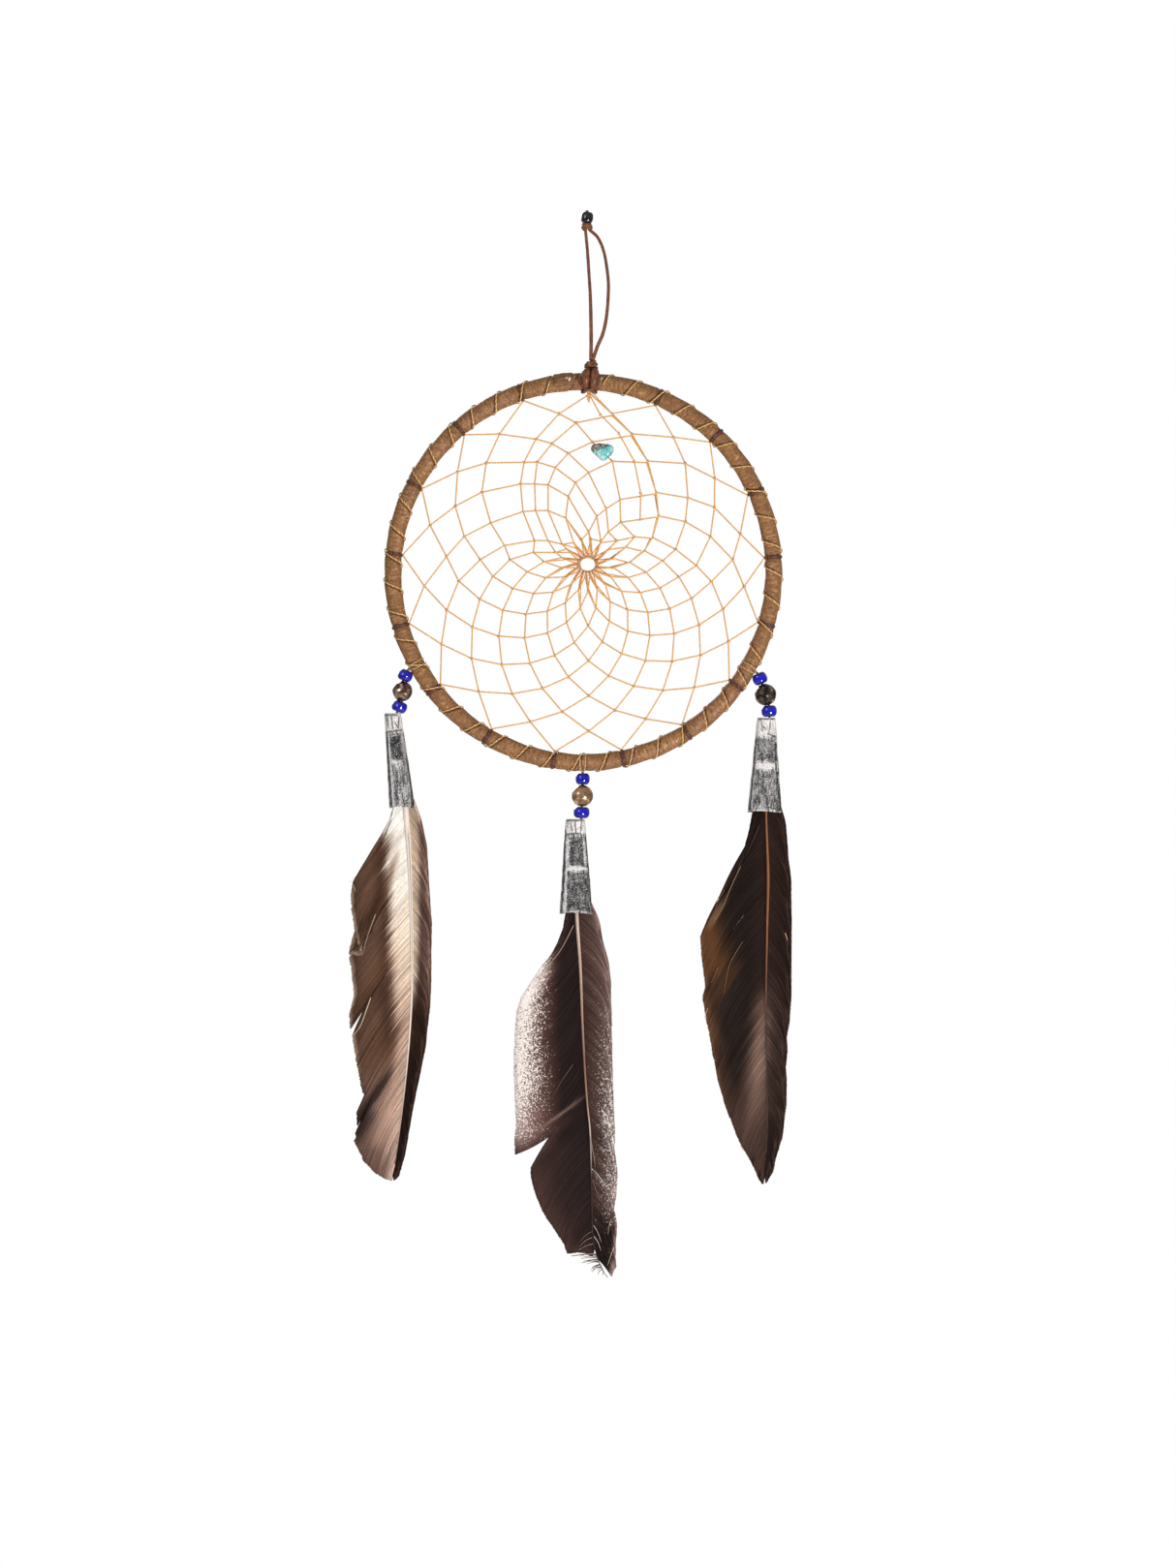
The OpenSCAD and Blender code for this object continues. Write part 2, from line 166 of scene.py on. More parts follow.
class Shape:
    """Grids of quads gathered into one mesh"""

    def __init__(self):
        self.verts, self.faces, self.data, self.count = [], [], {}, 0

    def grid(self, p, around=True, ring=False, caps=True, shift=0, **data):
        """p[i][k]: around joins the last k to the first, ring the last i to the first"""
        n, m = p.shape[:2]
        ids = self.count + np.arange(n * m).reshape(n, m)
        self.verts.append(p.reshape(-1, 3))
        self.count += n * m
        if around:
            ids = np.hstack([ids, np.roll(ids[:, :1], shift, axis=0)])
        if ring:
            ids = np.vstack([ids, ids[:1]])
        quads = np.stack([ids[:-1, :-1], ids[:-1, 1:], ids[1:, 1:], ids[1:, :-1]], -1)
        self.faces += quads.reshape(-1, 4).tolist()
        if caps and around and not ring:
            self.faces += [ids[0, :-1][::-1].tolist(), ids[-1, :-1].tolist()]
        for name, value in data.items():
            value = np.asarray(value, float)
            wide = value.ndim == 3
            value = np.broadcast_to(value, (n, m, 3) if wide else (n, m))
            self.data.setdefault(name, []).append(value.reshape(-1, 3) if wide else value.reshape(-1))
        return self

    def tube(self, path, radius, sides=8, ring=False, guide=None, **data):
        """A tube along a line; radius is a number, one for each point, or one for each point and side"""
        p = np.asarray(path, float)
        n = len(p)
        if ring:
            t = unit(np.roll(p, -1, 0) - np.roll(p, 1, 0))
        else:
            t = unit(np.gradient(p, axis=0))
        if guide is None:
            side = np.array([0.31, -0.9, 0.3])
            normal = np.empty_like(p)
            for i in range(n):
                side = side - t[i] * (side @ t[i])
                side = side / np.linalg.norm(side)
                normal[i] = side
        else:
            g = np.broadcast_to(np.asarray(guide, float), p.shape)
            normal = unit(g - t * np.sum(g * t, 1, keepdims=True))
        b = np.cross(t, normal)
        r = np.asarray(radius, float)
        r = np.broadcast_to(r[:, None] if r.ndim == 1 else r, (n, sides))
        w = np.broadcast_to(turns(sides)[None, :], (n, sides))
        q = p[:, None] + r[..., None] * (np.cos(w)[..., None] * normal[:, None] + np.sin(w)[..., None]
            * b[:, None])
        s = np.broadcast_to(lengths(p)[:, None], (n, sides))
        skin = np.stack([np.cos(w) * 2, np.sin(w) * 2, s], -1)
        return self.grid(q, ring=ring, skin=skin, **data)

    def make(self, name, body, slot, material, nodes=(), smooth=True):
        mesh = bpy.data.meshes.new(name)
        mesh.from_pydata((np.vstack(self.verts) / 1000).tolist(), [], self.faces)
        mesh.polygons.foreach_set("use_smooth", np.full(len(mesh.polygons), smooth))
        for key, values in self.data.items():
            if values[0].ndim == 2:
                mesh.attributes.new(key, "FLOAT_VECTOR", "POINT").data.foreach_set("vector",
                    np.vstack(values).ravel())
            else:
                mesh.attributes.new(key, "FLOAT", "POINT").data.foreach_set("value", np.concatenate(values))
        mesh.update()
        o = bpy.data.objects.new(name, mesh)
        scene.collection.objects.link(o)
        return place(o, body, slot, material, nodes)


def place(o, body, slot, material, nodes=()):
    o.data.materials.clear()
    o.data.materials.append(material)
    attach(o, body)
    if nodes:
        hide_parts(*([nodes] if isinstance(nodes, str) else nodes))
    return o


def wobble(p, size, amount, seed=0.0):
    """Smooth noise from a few waves, as a number for each point"""
    q = np.asarray(p) / size
    out = np.zeros(q.shape[:-1])
    local = np.random.default_rng(int(seed * 100) + 3)
    for k in range(9):
        d = unit(local.normal(size=3)) * (0.7 + 0.25 * k) * 2 * math.pi
        out += np.sin(q @ d + local.uniform(0, 6.28)) / (1 + 0.5 * k)
    return out * amount / 2.2


# ---------- materials ----------


def rgb(r, g, b):
    return tuple(((c / 255 + 0.055) / 1.055) ** 2.4 if c > 10 else c / 255 / 12.92
        for c in (r, g, b)) + (1.0,)


class Look:
    """A material made of nodes round one Principled shader"""

    def __init__(self, name, **sockets):
        self.m = bpy.data.materials.new(name)
        self.m.use_nodes = True
        self.tree = self.m.node_tree
        self.bsdf = self.tree.nodes["Principled BSDF"]
        for key, value in sockets.items():
            self.put(self.bsdf, key.replace("_", " "), value)

    def put(self, node, key, value):
        socket = node.inputs[key]
        if isinstance(value, bpy.types.NodeSocket):
            self.tree.links.new(value, socket)
        else:
            socket.default_value = value

    def node(self, kind, inputs, out=0, **props):
        n = self.tree.nodes.new("ShaderNode" + kind)
        for key, value in props.items():
            setattr(n, key, value)
        for key, value in inputs.items():
            self.put(n, key, value)
        return n.outputs[out]

    def here(self):
        """Place on the piece, in millimetres"""
        return self.scaled(self.node("TexCoord", {}, "Object"), 1000, 1000, 1000)

    def scaled(self, vector, x, y, z):
        return self.node("Mapping", {"Vector": vector, "Scale": (x, y, z)})

    def attr(self, name, out="Fac"):
        return self.node("Attribute", {}, out, attribute_name=name)

    def noise(self, vector, scale, detail=3.0, rough=0.55, distortion=0.0):
        return self.node(
            "TexNoise",
            {"Vector": vector, "Scale": scale, "Detail": detail, "Roughness": rough,
                "Distortion": distortion},
            "Fac",
        )

    def ramp(self, fac, *stops):
        n = self.tree.nodes.new("ShaderNodeValToRGB")
        e = n.color_ramp.elements
        while len(e) < len(stops):
            e.new(0.5)
        for item, (at, colour) in zip(e, stops):
            item.position = at
            item.color = colour if isinstance(colour, tuple) else (colour,) * 3 + (1.0,)
        self.tree.links.new(fac, n.inputs["Fac"])
        return n.outputs["Color"]

    def mix(self, fac, a, b, blend="MIX"):
        n = self.tree.nodes.new("ShaderNodeMix")
        n.data_type, n.blend_type, n.clamp_result = "RGBA", blend, False
        for socket, value in ((n.inputs[0], fac), (n.inputs[6], a), (n.inputs[7], b)):
            if isinstance(value, bpy.types.NodeSocket):
                self.tree.links.new(value, socket)
            else:
                socket.default_value = value
        return n.outputs[2]

    def math(self, how, a, b=0.0, c=0.0):
        n = self.tree.nodes.new("ShaderNodeMath")
        n.operation = how
        for k, value in enumerate((a, b, c)):
            if isinstance(value, bpy.types.NodeSocket):
                self.tree.links.new(value, n.inputs[k])
            else:
                n.inputs[k].default_value = value
        return n.outputs[0]

    def span(self, fac, low, high, to_low=0.0, to_high=1.0):
        return self.node(
            "MapRange",
            {"Value": fac, "From Min": low, "From Max": high, "To Min": to_low, "To Max": to_high},
            "Result",
        )

    def bump(self, height, depth, strength=1.0, normal=None):
        """depth is in millimetres"""
        inputs = {"Height": height, "Distance": depth / 1000, "Strength": strength}
        if normal is not None:
            inputs["Normal"] = normal
        return self.node("Bump", inputs, "Normal")

    def use(self, **sockets):
        for key, value in sockets.items():
            self.put(self.bsdf, key.replace("_", " "), value)
        return self.m


def leather_wrap_look():
    k = Look("wrap_leather", Specular_IOR_Level=0.4)
    skin, here = k.attr("skin", "Vector"), k.here()
    grain = k.noise(k.scaled(skin, 0.5, 0.5, 1.7), 1.0, 5, 0.7)
    patch = k.noise(here, 0.16, 3, 0.5)
    speck = k.noise(here, 3.4, 2, 0.6)
    base = k.ramp(grain, (0.3, rgb(76, 45, 23)), (0.45, rgb(130, 87, 50)), (0.56, rgb(157, 110, 65)),
        (0.7, rgb(204, 160, 110)))
    base = k.mix(k.span(patch, 0.35, 0.65, 0, 0.5), base, rgb(116, 76, 42))
    base = k.mix(k.span(speck, 0.6, 0.66, 0, 0.6), base, rgb(206, 168, 124))
    # painted shade: darker brown in the grooves where hitches and ties sink in (sink) and at the foot of
    # the strip's overlapping edge (edge); on the strip's end, edge is its own darker brown
    dark = k.math("MAXIMUM", k.attr("edge"), k.attr("sink"))
    base = k.mix(k.math("MULTIPLY", dark, 0.8), base, rgb(62, 34, 17))
    height = k.math("ADD", grain, k.math("MULTIPLY", speck, 0.5))
    return k.use(
        Base_Color=base,
        Roughness=k.span(grain, 0.3, 0.7, 0.62, 0.42),
        Normal=k.bump(height, 0.12, 0.8),
    )


def thread_look(name, dark, mid, light, rough, fuzz=0.25):
    """Twisted thread: the plies show as slanted stripes"""
    k = Look(name, Sheen_Weight=fuzz, Sheen_Roughness=0.4, Specular_IOR_Level=0.45)
    k.bsdf.inputs["Sheen Tint"].default_value = light
    skin = k.attr("skin", "Vector")
    ply = k.attr("ply")
    fibre = k.noise(k.scaled(skin, 1.2, 1.2, 2.5), 1.6, 3, 0.6)
    tone = k.math("ADD", k.math("MULTIPLY", ply, 0.55), k.math("MULTIPLY", fibre, 0.6))
    base = k.ramp(tone, (0.2, dark), (0.5, mid), (0.85, light))
    base = k.mix(k.math("MULTIPLY", k.attr("knot"), 0.9), base, dark)
    return k.use(Base_Color=base, Roughness=rough, Normal=k.bump(fibre, 0.05, 0.6))


def cord_look():
    k = Look("cord_leather", Specular_IOR_Level=0.45, Coat_Weight=0.12, Coat_Roughness=0.3)
    skin, here = k.attr("skin", "Vector"), k.here()
    grain = k.noise(k.scaled(skin, 1.0, 1.0, 0.5), 1.1, 4, 0.6)
    broad = k.noise(here, 0.14, 2, 0.5)
    base = k.ramp(grain, (0.25, rgb(58, 26, 12)), (0.5, rgb(106, 56, 30)), (0.75, rgb(152, 94, 54)))
    base = k.mix(k.span(broad, 0.4, 0.65, 0, 0.5), base, rgb(128, 72, 42))
    # knot darkens the turns of knots; on the collar's lower ring it is painted shade
    base = k.mix(k.math("MULTIPLY", k.attr("knot"), 0.85), base, rgb(30, 14, 10))
    return k.use(Base_Color=base, Roughness=k.span(grain, 0.3, 0.7, 0.5, 0.3),
        Normal=k.bump(grain, 0.08, 0.7))


def glass_look(name, deep, mid, bright):
    """Pressed glass bead, with painted shade darkening it toward its holes"""
    k = Look(name, Roughness=0.09, Coat_Weight=0.5, Coat_Roughness=0.02, Specular_IOR_Level=0.5)
    here = k.here()
    cloud = k.noise(here, 0.5, 2, 0.5)
    # painted shade: the glass darkens from the belly toward the holes and rims
    belly = k.attr("belly")
    base = k.ramp(k.math("ADD", k.math("MULTIPLY", belly, 0.8), k.math("MULTIPLY", cloud, 0.3)),
        (0.15, deep), (0.6, mid), (1.0, bright))
    dimple = k.noise(here, 0.9, 1, 0.5)
    return k.use(Base_Color=base, Normal=k.bump(dimple, 0.06, 0.2))


def metal_bead_look(name, *tones):
    k = Look(name, Metallic=0.85, Specular_IOR_Level=0.6)
    here = k.here()
    mottle = k.noise(here, 0.42, 5, 0.62, 0.6)
    fine = k.noise(here, 2.2, 4, 0.6)
    spots = k.node("TexVoronoi", {"Vector": here, "Scale": 1.3}, "Distance")
    base = k.ramp(k.math("ADD", k.math("MULTIPLY", mottle, 0.8), k.math("MULTIPLY", fine, 0.2)), *tones)
    base = k.mix(k.span(spots, 0.28, 0.12, 0, 0.5), base, tones[0][1])
    rough = k.span(mottle, 0.3, 0.7, 0.24, 0.08)
    return k.use(Base_Color=base, Roughness=rough,
        Normal=k.bump(k.math("ADD", mottle, k.math("MULTIPLY", fine, 0.2)), 0.26, 0.7))


def tin_look():
    k = Look("tin", Metallic=0.25, Specular_IOR_Level=0.35)
    here = k.here()
    skin = k.attr("skin", "Vector")
    streak = k.noise(k.scaled(skin, 2.2, 2.2, 0.3), 1.0, 4, 0.65)
    cloud = k.noise(here, 0.3, 4, 0.6, 0.4)
    speck = k.noise(here, 2.6, 3, 0.7)
    tone = k.math("ADD", k.math("MULTIPLY", streak, 0.35),
        k.math("ADD", k.math("MULTIPLY", cloud, 0.2), k.math("MULTIPLY", speck, 0.45)))
    base = k.ramp(tone, (0.41, rgb(26, 26, 29)), (0.46, rgb(92, 92, 95)), (0.505, rgb(164, 162, 162)),
        (0.55, rgb(236, 232, 231)))
    # painted dark reflection over the front of the tin, broken up by speckle
    stain = k.math("MULTIPLY", k.attr("stain"), k.span(speck, 0.64, 0.52, 0.45, 1.0))
    base = k.mix(stain, base, rgb(28, 30, 35))
    # painted highlight where the crimped top and bands of the side catch the light
    base = k.mix(k.math("MULTIPLY", k.attr("bright"), k.span(speck, 0.4, 0.48, 0.35, 1.0)), base,
        rgb(248, 242, 241))
    # painted shade along creases, folds and the rim
    base = k.mix(k.math("MULTIPLY", k.attr("mark"), k.span(speck, 0.45, 0.6, 1.0, 0.75)), base,
        rgb(8, 8, 9))
    height = k.math("ADD", streak, k.math("MULTIPLY", speck, 0.6))
    return k.use(Base_Color=base, Roughness=k.span(cloud, 0.3, 0.7, 0.5, 0.32),
        Normal=k.bump(height, 0.1, 0.9))


def turquoise_look():
    k = Look("turquoise", Coat_Weight=0.5, Coat_Roughness=0.12, Specular_IOR_Level=0.5, Roughness=0.35)
    here = k.here()
    bend = k.node("TexNoise", {"Vector": here, "Scale": 0.5, "Detail": 3.0}, "Color")
    moved = k.node("VectorMath", {0: here, 1: bend}, 0, operation="ADD")
    cells = k.node("TexVoronoi", {"Vector": moved, "Scale": 0.55}, "Distance", feature="DISTANCE_TO_EDGE")
    blobs = k.noise(here, 0.45, 4, 0.6)
    tint = k.noise(here, 0.3, 3, 0.5)
    base = k.ramp(tint, (0.35, rgb(60, 128, 124)), (0.45, rgb(84, 176, 176)), (0.55, rgb(120, 208, 208)),
        (0.66, rgb(190, 236, 236)))
    matrix = k.math("ADD", blobs, k.math("MULTIPLY", k.attr("crust"), 0.32))
    vein = k.math("MAXIMUM", k.span(cells, 0.045, 0.015, 0, 0.7), k.span(matrix, 0.6, 0.66))
    crust = k.ramp(k.noise(here, 1.1, 3, 0.6), (0.42, rgb(36, 30, 26)), (0.5, rgb(120, 112, 100)),
        (0.6, rgb(196, 190, 176)))
    base = k.mix(k.math("MULTIPLY", vein, 0.92), base, k.mix(k.attr("crust"), rgb(40, 34, 28), crust))
    return k.use(Base_Color=base, Normal=k.bump(k.math("SUBTRACT", blobs, vein), 0.12, 0.5))


def steel_look():
    k = Look("core_steel", Metallic=1.0)
    tone = k.noise(k.here(), 0.8, 3, 0.5)
    return k.use(Base_Color=k.ramp(tone, (0.3, rgb(130, 132, 136)), (0.7, rgb(180, 182, 186))),
        Roughness=k.span(tone, 0.3, 0.7, 0.3, 0.5))


def glue_look():
    k = Look("glue", Coat_Weight=0.6, Coat_Roughness=0.1)
    tone = k.noise(k.here(), 0.7, 3, 0.5)
    return k.use(
        Base_Color=k.ramp(tone, (0.3, rgb(176, 150, 118)), (0.7, rgb(248, 238, 220))),
        Roughness=k.span(tone, 0.3, 0.7, 0.3, 0.5),
        Normal=k.bump(tone, 0.3, 0.6),
    )


def quill_look(name, *stops):
    """Feather shaft: its colour runs along it, with a groove below painted dark as shade"""
    k = Look(name, Specular_IOR_Level=0.5, Coat_Weight=0.2, Coat_Roughness=0.25)
    along = k.attr("along")
    fibre = k.noise(k.scaled(k.attr("skin", "Vector"), 1.5, 1.5, 0.25), 1.2, 3, 0.6)
    base = k.ramp(along, *stops)
    base = k.mix(k.span(fibre, 0.35, 0.7, 0, 0.2), base, rgb(60, 38, 26))
    # painted shade in the shaft's groove
    base = k.mix(k.math("MULTIPLY", k.attr("groove"), 0.9), base, rgb(38, 24, 18))
    return k.use(Base_Color=base, Roughness=k.span(fibre, 0.3, 0.7, 0.45, 0.3),
        Normal=k.bump(fibre, 0.05, 0.5))


def vane_look(name):
    """Barbs: the colour of each comes with it, and fine barbules cross it"""
    k = Look(name, Specular_IOR_Level=0.12)
    colour = k.attr("tint", "Color")
    out, barb = k.attr("out"), k.attr("barb")
    line = k.node("CombineXYZ", {"X": out, "Y": barb, "Z": 0.0})
    fine = k.noise(k.scaled(line, 0.9, 40, 1), 1.0, 3, 0.6)
    spark = k.noise(k.scaled(line, 1.5, 22, 1), 1.0, 3, 0.8)
    base = k.mix(k.span(fine, 0.45, 0.75, 0.0, 0.5), colour,
        k.mix(1.0, colour, (0.5, 0.47, 0.45, 1), "MULTIPLY"))
    base = k.mix(k.span(fine, 0.42, 0.2, 0.0, 0.4), base,
        k.mix(1.0, colour, (1.6, 1.55, 1.5, 1), "MULTIPLY"))
    # painted sheen: pale specks where frost is high
    frost = k.attr("frost")
    dots = k.math("GREATER_THAN", k.math("ADD", spark, k.math("MULTIPLY", frost, 0.42)), 0.72)
    base = k.mix(k.math("MULTIPLY", dots, k.span(frost, 0.0, 0.4, 0.0, 0.95)), base, rgb(248, 240, 235))
    return k.use(Base_Color=base, Roughness=k.span(fine, 0.3, 0.7, 0.65, 0.5))


WRAP = leather_wrap_look()
GOLD = thread_look("gold_thread", rgb(110, 68, 28), rgb(196, 142, 78), rgb(250, 214, 148), 0.36, 0.1)
DARK = thread_look("dark_thread", rgb(28, 13, 9), rgb(62, 30, 21), rgb(128, 80, 56), 0.36, 0.1)
BROWN = thread_look("brown_thread", rgb(128, 72, 32), rgb(206, 138, 70), rgb(240, 188, 120), 0.5, 0.1)
WEB = thread_look("web_thread", rgb(168, 106, 50), rgb(222, 160, 86), rgb(242, 192, 122), 0.5, 0.1)
CREAM = thread_look("cream_thread", rgb(104, 66, 34), rgb(178, 132, 84), rgb(232, 202, 158), 0.5, 0.1)
CORD = cord_look()
BLUE = glass_look("blue_bead", rgb(1, 1, 34), rgb(2, 3, 126), rgb(6, 10, 196))
BLACK = glass_look("black_bead", rgb(4, 4, 6), rgb(10, 10, 13), rgb(26, 26, 30))
BRONZE = metal_bead_look("bronze_metal", (0.32, rgb(104, 66, 42)), (0.45, rgb(176, 134, 98)),
    (0.55, rgb(216, 180, 138)), (0.7, rgb(250, 226, 190)))
IRON = metal_bead_look("dark_metal", (0.34, rgb(30, 19, 16)), (0.45, rgb(88, 60, 50)),
    (0.54, rgb(168, 138, 122)), (0.64, rgb(252, 238, 224)))
SOOT = metal_bead_look("black_metal", (0.32, rgb(18, 14, 13)), (0.45, rgb(58, 48, 42)),
    (0.55, rgb(108, 98, 88)), (0.68, rgb(220, 212, 200)))
TIN = tin_look()
STONE = turquoise_look()
STEEL = steel_look()
GLUE = glue_look()

# ---------- hanging cord and its knots ----------

LEFT_STRAND = [(0.9, 0, -41.9), (1.0, -0.1, -36), (0.9, -0.2, -28), (0.7, -0.2, -21), (0.3, -0.1, -14.5),
    (-0.2, 0, -7), (-0.8, 0, -0.4)]
RIGHT_STRAND = [(1.5, 0, -41.9), (3.0, 0.1, -37.5), (4.7, 0.2, -33.5), (5.8, 0.3, -28.5), (6.4, 0.3, -22),
    (6.4, 0.3, -16), (5.2, 0.2, -8), (3.2, 0.1, -3), (0.5, 0, -0.4)]


def swell(path, sides, amount, seed):
    """A little change of thickness along a cord"""
    return 1 + wobble(np.repeat(path[:, None], sides, 1), 5.0, amount, seed)


def knot_strand(shape, points, radius, gap=0.12, sides=10, knot=0.0, ring=False):
    path = even(spline(points, 10), gap)
    if ring:
        path = path[:-1]
    share = np.linspace(0, 1, len(path))
    radius = np.interp(share, np.linspace(0, 1, np.size(radius)), np.atleast_1d(radius))[:, None]
    r = radius * (1 + wobble(np.repeat(path[:, None], sides, 1), 1.6, 0.06, 2))
    shape.tube(path, r, sides, ring=ring, ply=0.5, knot=knot)


OVER_TOP = [(-0.62, 0, 0.35), (-0.15, 0, 0.72), (0.3, 0, 0.35)]
cord_path = even(spline(LEFT_STRAND + OVER_TOP + RIGHT_STRAND[::-1], 12), 0.4)
CORD_R = 0.5
thicker = np.interp(cord_path[:, 2], [-42, -34, -20, -8], [1.25, 1.22, 1.06, 1.0])[:, None]  # at the foot
hanger = Shape()
hanger.tube(cord_path, CORD_R * swell(cord_path, 12, 0.05, 4) * thicker, 12, ply=0.5, knot=0.0)
hanger = hanger.make("hanger_cord_loop", "hanger", "cord_leather", CORD, "hanger_cord")

top = Shape()
C0 = np.array([-0.3, 0, 0.62])
knot_strand(top, [C0 + v for v in ([-0.9, 0.5, -0.9], [-1.35, -0.5, -0.2], [-0.3, -1.2, 0.25],
            [1.05, -0.6, 0.1], [1.1, 0.55, -0.3], [0, 1.1, 0.2],
            [-1.1, 0.6, 0.55], [-1.0, -0.6, 0.7], [0.2, -1.0, 0.6], [0.9, 0, 0.75],
            [0.3, 0.5, 1.2], [0.0, 0.1, 2.2])], 0.56)
knot_strand(top, [C0 + v for v in ([0.8, 0.3, -1.0], [1.25, -0.45, -0.5], [0.4, -1.15, -0.45],
            [-0.7, -0.9, -0.5], [-1.0, 0.2, -0.3], [-0.2, 0.9, -0.35])], 0.52)
knot_strand(top, [(-0.5, 0, 1.8), (-0.5, 0.05, 3.5), (-0.45, 0, 5.2), (-0.5, 0.05, 5.75)], 0.3)
knot_strand(top, [(-0.05, 0, 1.8), (-0.08, -0.05, 3.5), (-0.1, 0, 5.2), (0.05, 0.0, 5.7)], 0.3)
top_knot = top.make("top_knot_turns", "hanger", "cord_leather", CORD, "top_knot")


def bead(name, at, axis, diameter, height, bore, body, slot, material, node, dents=0.0, seed=0):
    """A bead turned round its hole, with rounded rims"""
    axis = unit(np.asarray(axis, float))
    side = unit(np.cross(axis, [0, 1, 0]))
    front = np.cross(axis, side)
    n, m = 72, 56
    t = turns(m)
    h, R = height / 2, diameter / 2
    mid = bore / 2 + 0.36 * (R - bore / 2)
    # outside: a full belly; inside: a straight bore with soft lips
    full = np.cos(t) > 0
    if height > 0.9 * diameter:  # a ball with a straight hole
        reach = math.asin(bore / 2 / R * 1.25)
        lat = np.where(full, np.sin(t), 0) * (math.pi / 2 - reach)
        top = R * math.cos(reach)
        r = np.where(full, R * np.cos(lat), bore / 2)
        z = np.where(full, R * np.sin(lat), np.sign(np.sin(t)) * np.abs(np.sin(t)) ** 0.8 * (top - 0.08))
    else:
        c_ = np.abs(np.cos(t))
        r = np.where(full, mid + (R - mid) * c_**0.86, mid - (mid - bore / 2) * c_**0.35)
        z = h * np.sign(np.sin(t)) * np.abs(np.sin(t)) ** np.where(full, 0.96, 0.8)
    a = turns(n)
    p = at + r[None, :, None] * (np.cos(a)[:, None, None] * side + np.sin(a)[:, None, None]
        * front) + z[None, :, None] * axis
    if dents:
        out = unit(p - at)
        p = p - out * np.clip(np.abs(wobble(p - at, diameter * 0.42, dents, seed)) - 0.2 * dents, 0,
            1)[..., None] * (r > mid)[None, :, None]
    # belly: 1 round the widest part, less toward the holes and rims; the glass material paints shade by it
    belly = np.clip((r - mid) / (R - mid), 0, 1) * (1 - 0.35 * np.abs(z) / h)
    s = Shape()
    s.grid(np.asarray(p), ring=True, belly=np.broadcast_to(belly, (n, m)))
    return s.make(name, body, slot, material, node)


top_bead_piece = bead("top_bead_glass", np.array([-0.3, 0, 3.5]), [0.12, 0.05, 1], 3.9, 3.4, 1.25,
    "hanger", "black_bead", BLACK, "top_bead")

float(lengths(cord_path)[-1]) / 1000

collar = Shape()
C1 = np.array([1.0, 0, -43.7])
# the last value darkens each ring through knot: the lower ring, at 0.95, is painted shade at the collar's
# lower edge
for height, wide, deep, thick, dark in ((0.95, 1.15, 0.95, 0.55, 0.0), (0.2, 1.6, 1.3, 0.62, 0.1),
        (-0.75, 1.75, 1.4, 0.5, 0.95)):
    t = np.linspace(0, 2 * math.pi, 25)[:-1]
    ring_ = C1 + np.stack([wide * np.cos(t), deep * np.sin(t),
            height + 0.25 * np.sin(t + height) + 0.14 * np.cos(2 * t)], 1)
    knot_strand(collar, np.vstack([ring_, ring_[:1]]), thick, ring=True, knot=dark)
knot_strand(collar, [C1 + v for v in ([-1.5, -0.3, -0.9], [-1.0, -1.35, -0.1], [-0.2, -1.5, 0.6],
            [0.6, -1.0, 1.2], [0.7, 0.0, 1.6])], 0.5, knot=0.0)
knot_strand(collar, [C1 + v for v in ([1.5, -0.4, -0.7], [1.2, -1.2, 0.1], [0.5, -0.9, 0.9],
            [-0.2, 0.1, 1.5])], 0.45, knot=0.2)
collar.make("collar_turns", "collar", "cord_leather", CORD, "collar_knot")

# Lark's head round the hoop: strands down the front, a bar across them and turns behind
HANG = 1.6


def on_hoop(angle, phi, r, shift=0.0):
    """A point on the hoop's tube: phi goes from the outer edge over the front"""
    a, f = math.radians(angle), math.radians(phi)
    out, along = np.array([math.sin(a), 0, math.cos(a)]), np.array([math.cos(a), 0, -math.sin(a)])
    return HOOP + RING_R * out + r * (math.cos(f) * out + math.sin(f)
        * np.array([0, -1, 0])) + shift * along


lark = Shape()
for side in (-1, 1):
    # down over the front, round behind and back over the front beside itself:
    # angle, radius, middle of the pair, distance from it
    front = [(8, 3.6, 0.75, 0.8), (32, 3.95, 0.65, 1.2), (60, 4.25, 0.5, 1.4), (88, 4.2, 0.35, 1.32),
        (112, 3.95, 0.2, 1.02), (136, 3.55, 0.1, 0.85), (156, 3.4, 0.3, 1.45), (172, 3.35, 0.4, 2.05)]
    strand = [[0.95 + side * 0.35, -0.4, -44.8]] + [on_hoop(HANG, f, r, mid + side * gap) for f, r, mid,
        gap in front]
    knot_strand(lark, strand, [0.75, 0.9, 1.3, 1.5, 1.42, 1.1, 0.8, 0.6, 0.55])
    behind = [(160, 3.35, 2.05), (200, 3.3, 2.05), (240, 3.3, 1.9), (280, 3.2, 1.7), (320, 3.1, 1.6),
        (355, 3.05, 1.7), (30, 3.1, 2.1), (60, 3.3, 2.6), (85, 3.4, 2.85), (108, 3.35, 2.4),
        (128, 3.3, 1.5)]
    knot_strand(lark, [on_hoop(HANG, f, r, 0.25 + side * gap) for f, r, gap in behind], 0.62, knot=0.15)
bar = ((100, 3.5, -2.7), (114, 4.2, -1.8), (122, 4.9, -0.7), (122, 4.9, 0.1), (120, 4.8, 0.9),
    (112, 4.2, 1.9), (98, 3.5, 2.8))
knot_strand(lark, [on_hoop(HANG, f, r, 0.15 + gap) for f, r, gap in bar], 0.5, knot=0.45)
lark.make("larks_head", "hitch", "cord_leather", CORD, "hoop_hitch")

# ---------- hoop ----------

STRIP = np.array([0, 0.014, 0.03, 0.05, 0.08, 0.12, 0.17, 0.23, 0.3, 0.38, 0.46, 0.54, 0.62, 0.7, 0.77,
        0.83, 0.88, 0.92, 0.95, 0.972, 0.988])
SEAM = 0.88  # where the strip's edge runs, as a share of the way from one binding turn to the next


def web_angle(j):
    a = 0.3 + 360 / HITCHES * j
    return a + 1.9 * math.cos(math.radians(a - 10))


def around(a, b):
    return (a - b + 180) % 360 - 180


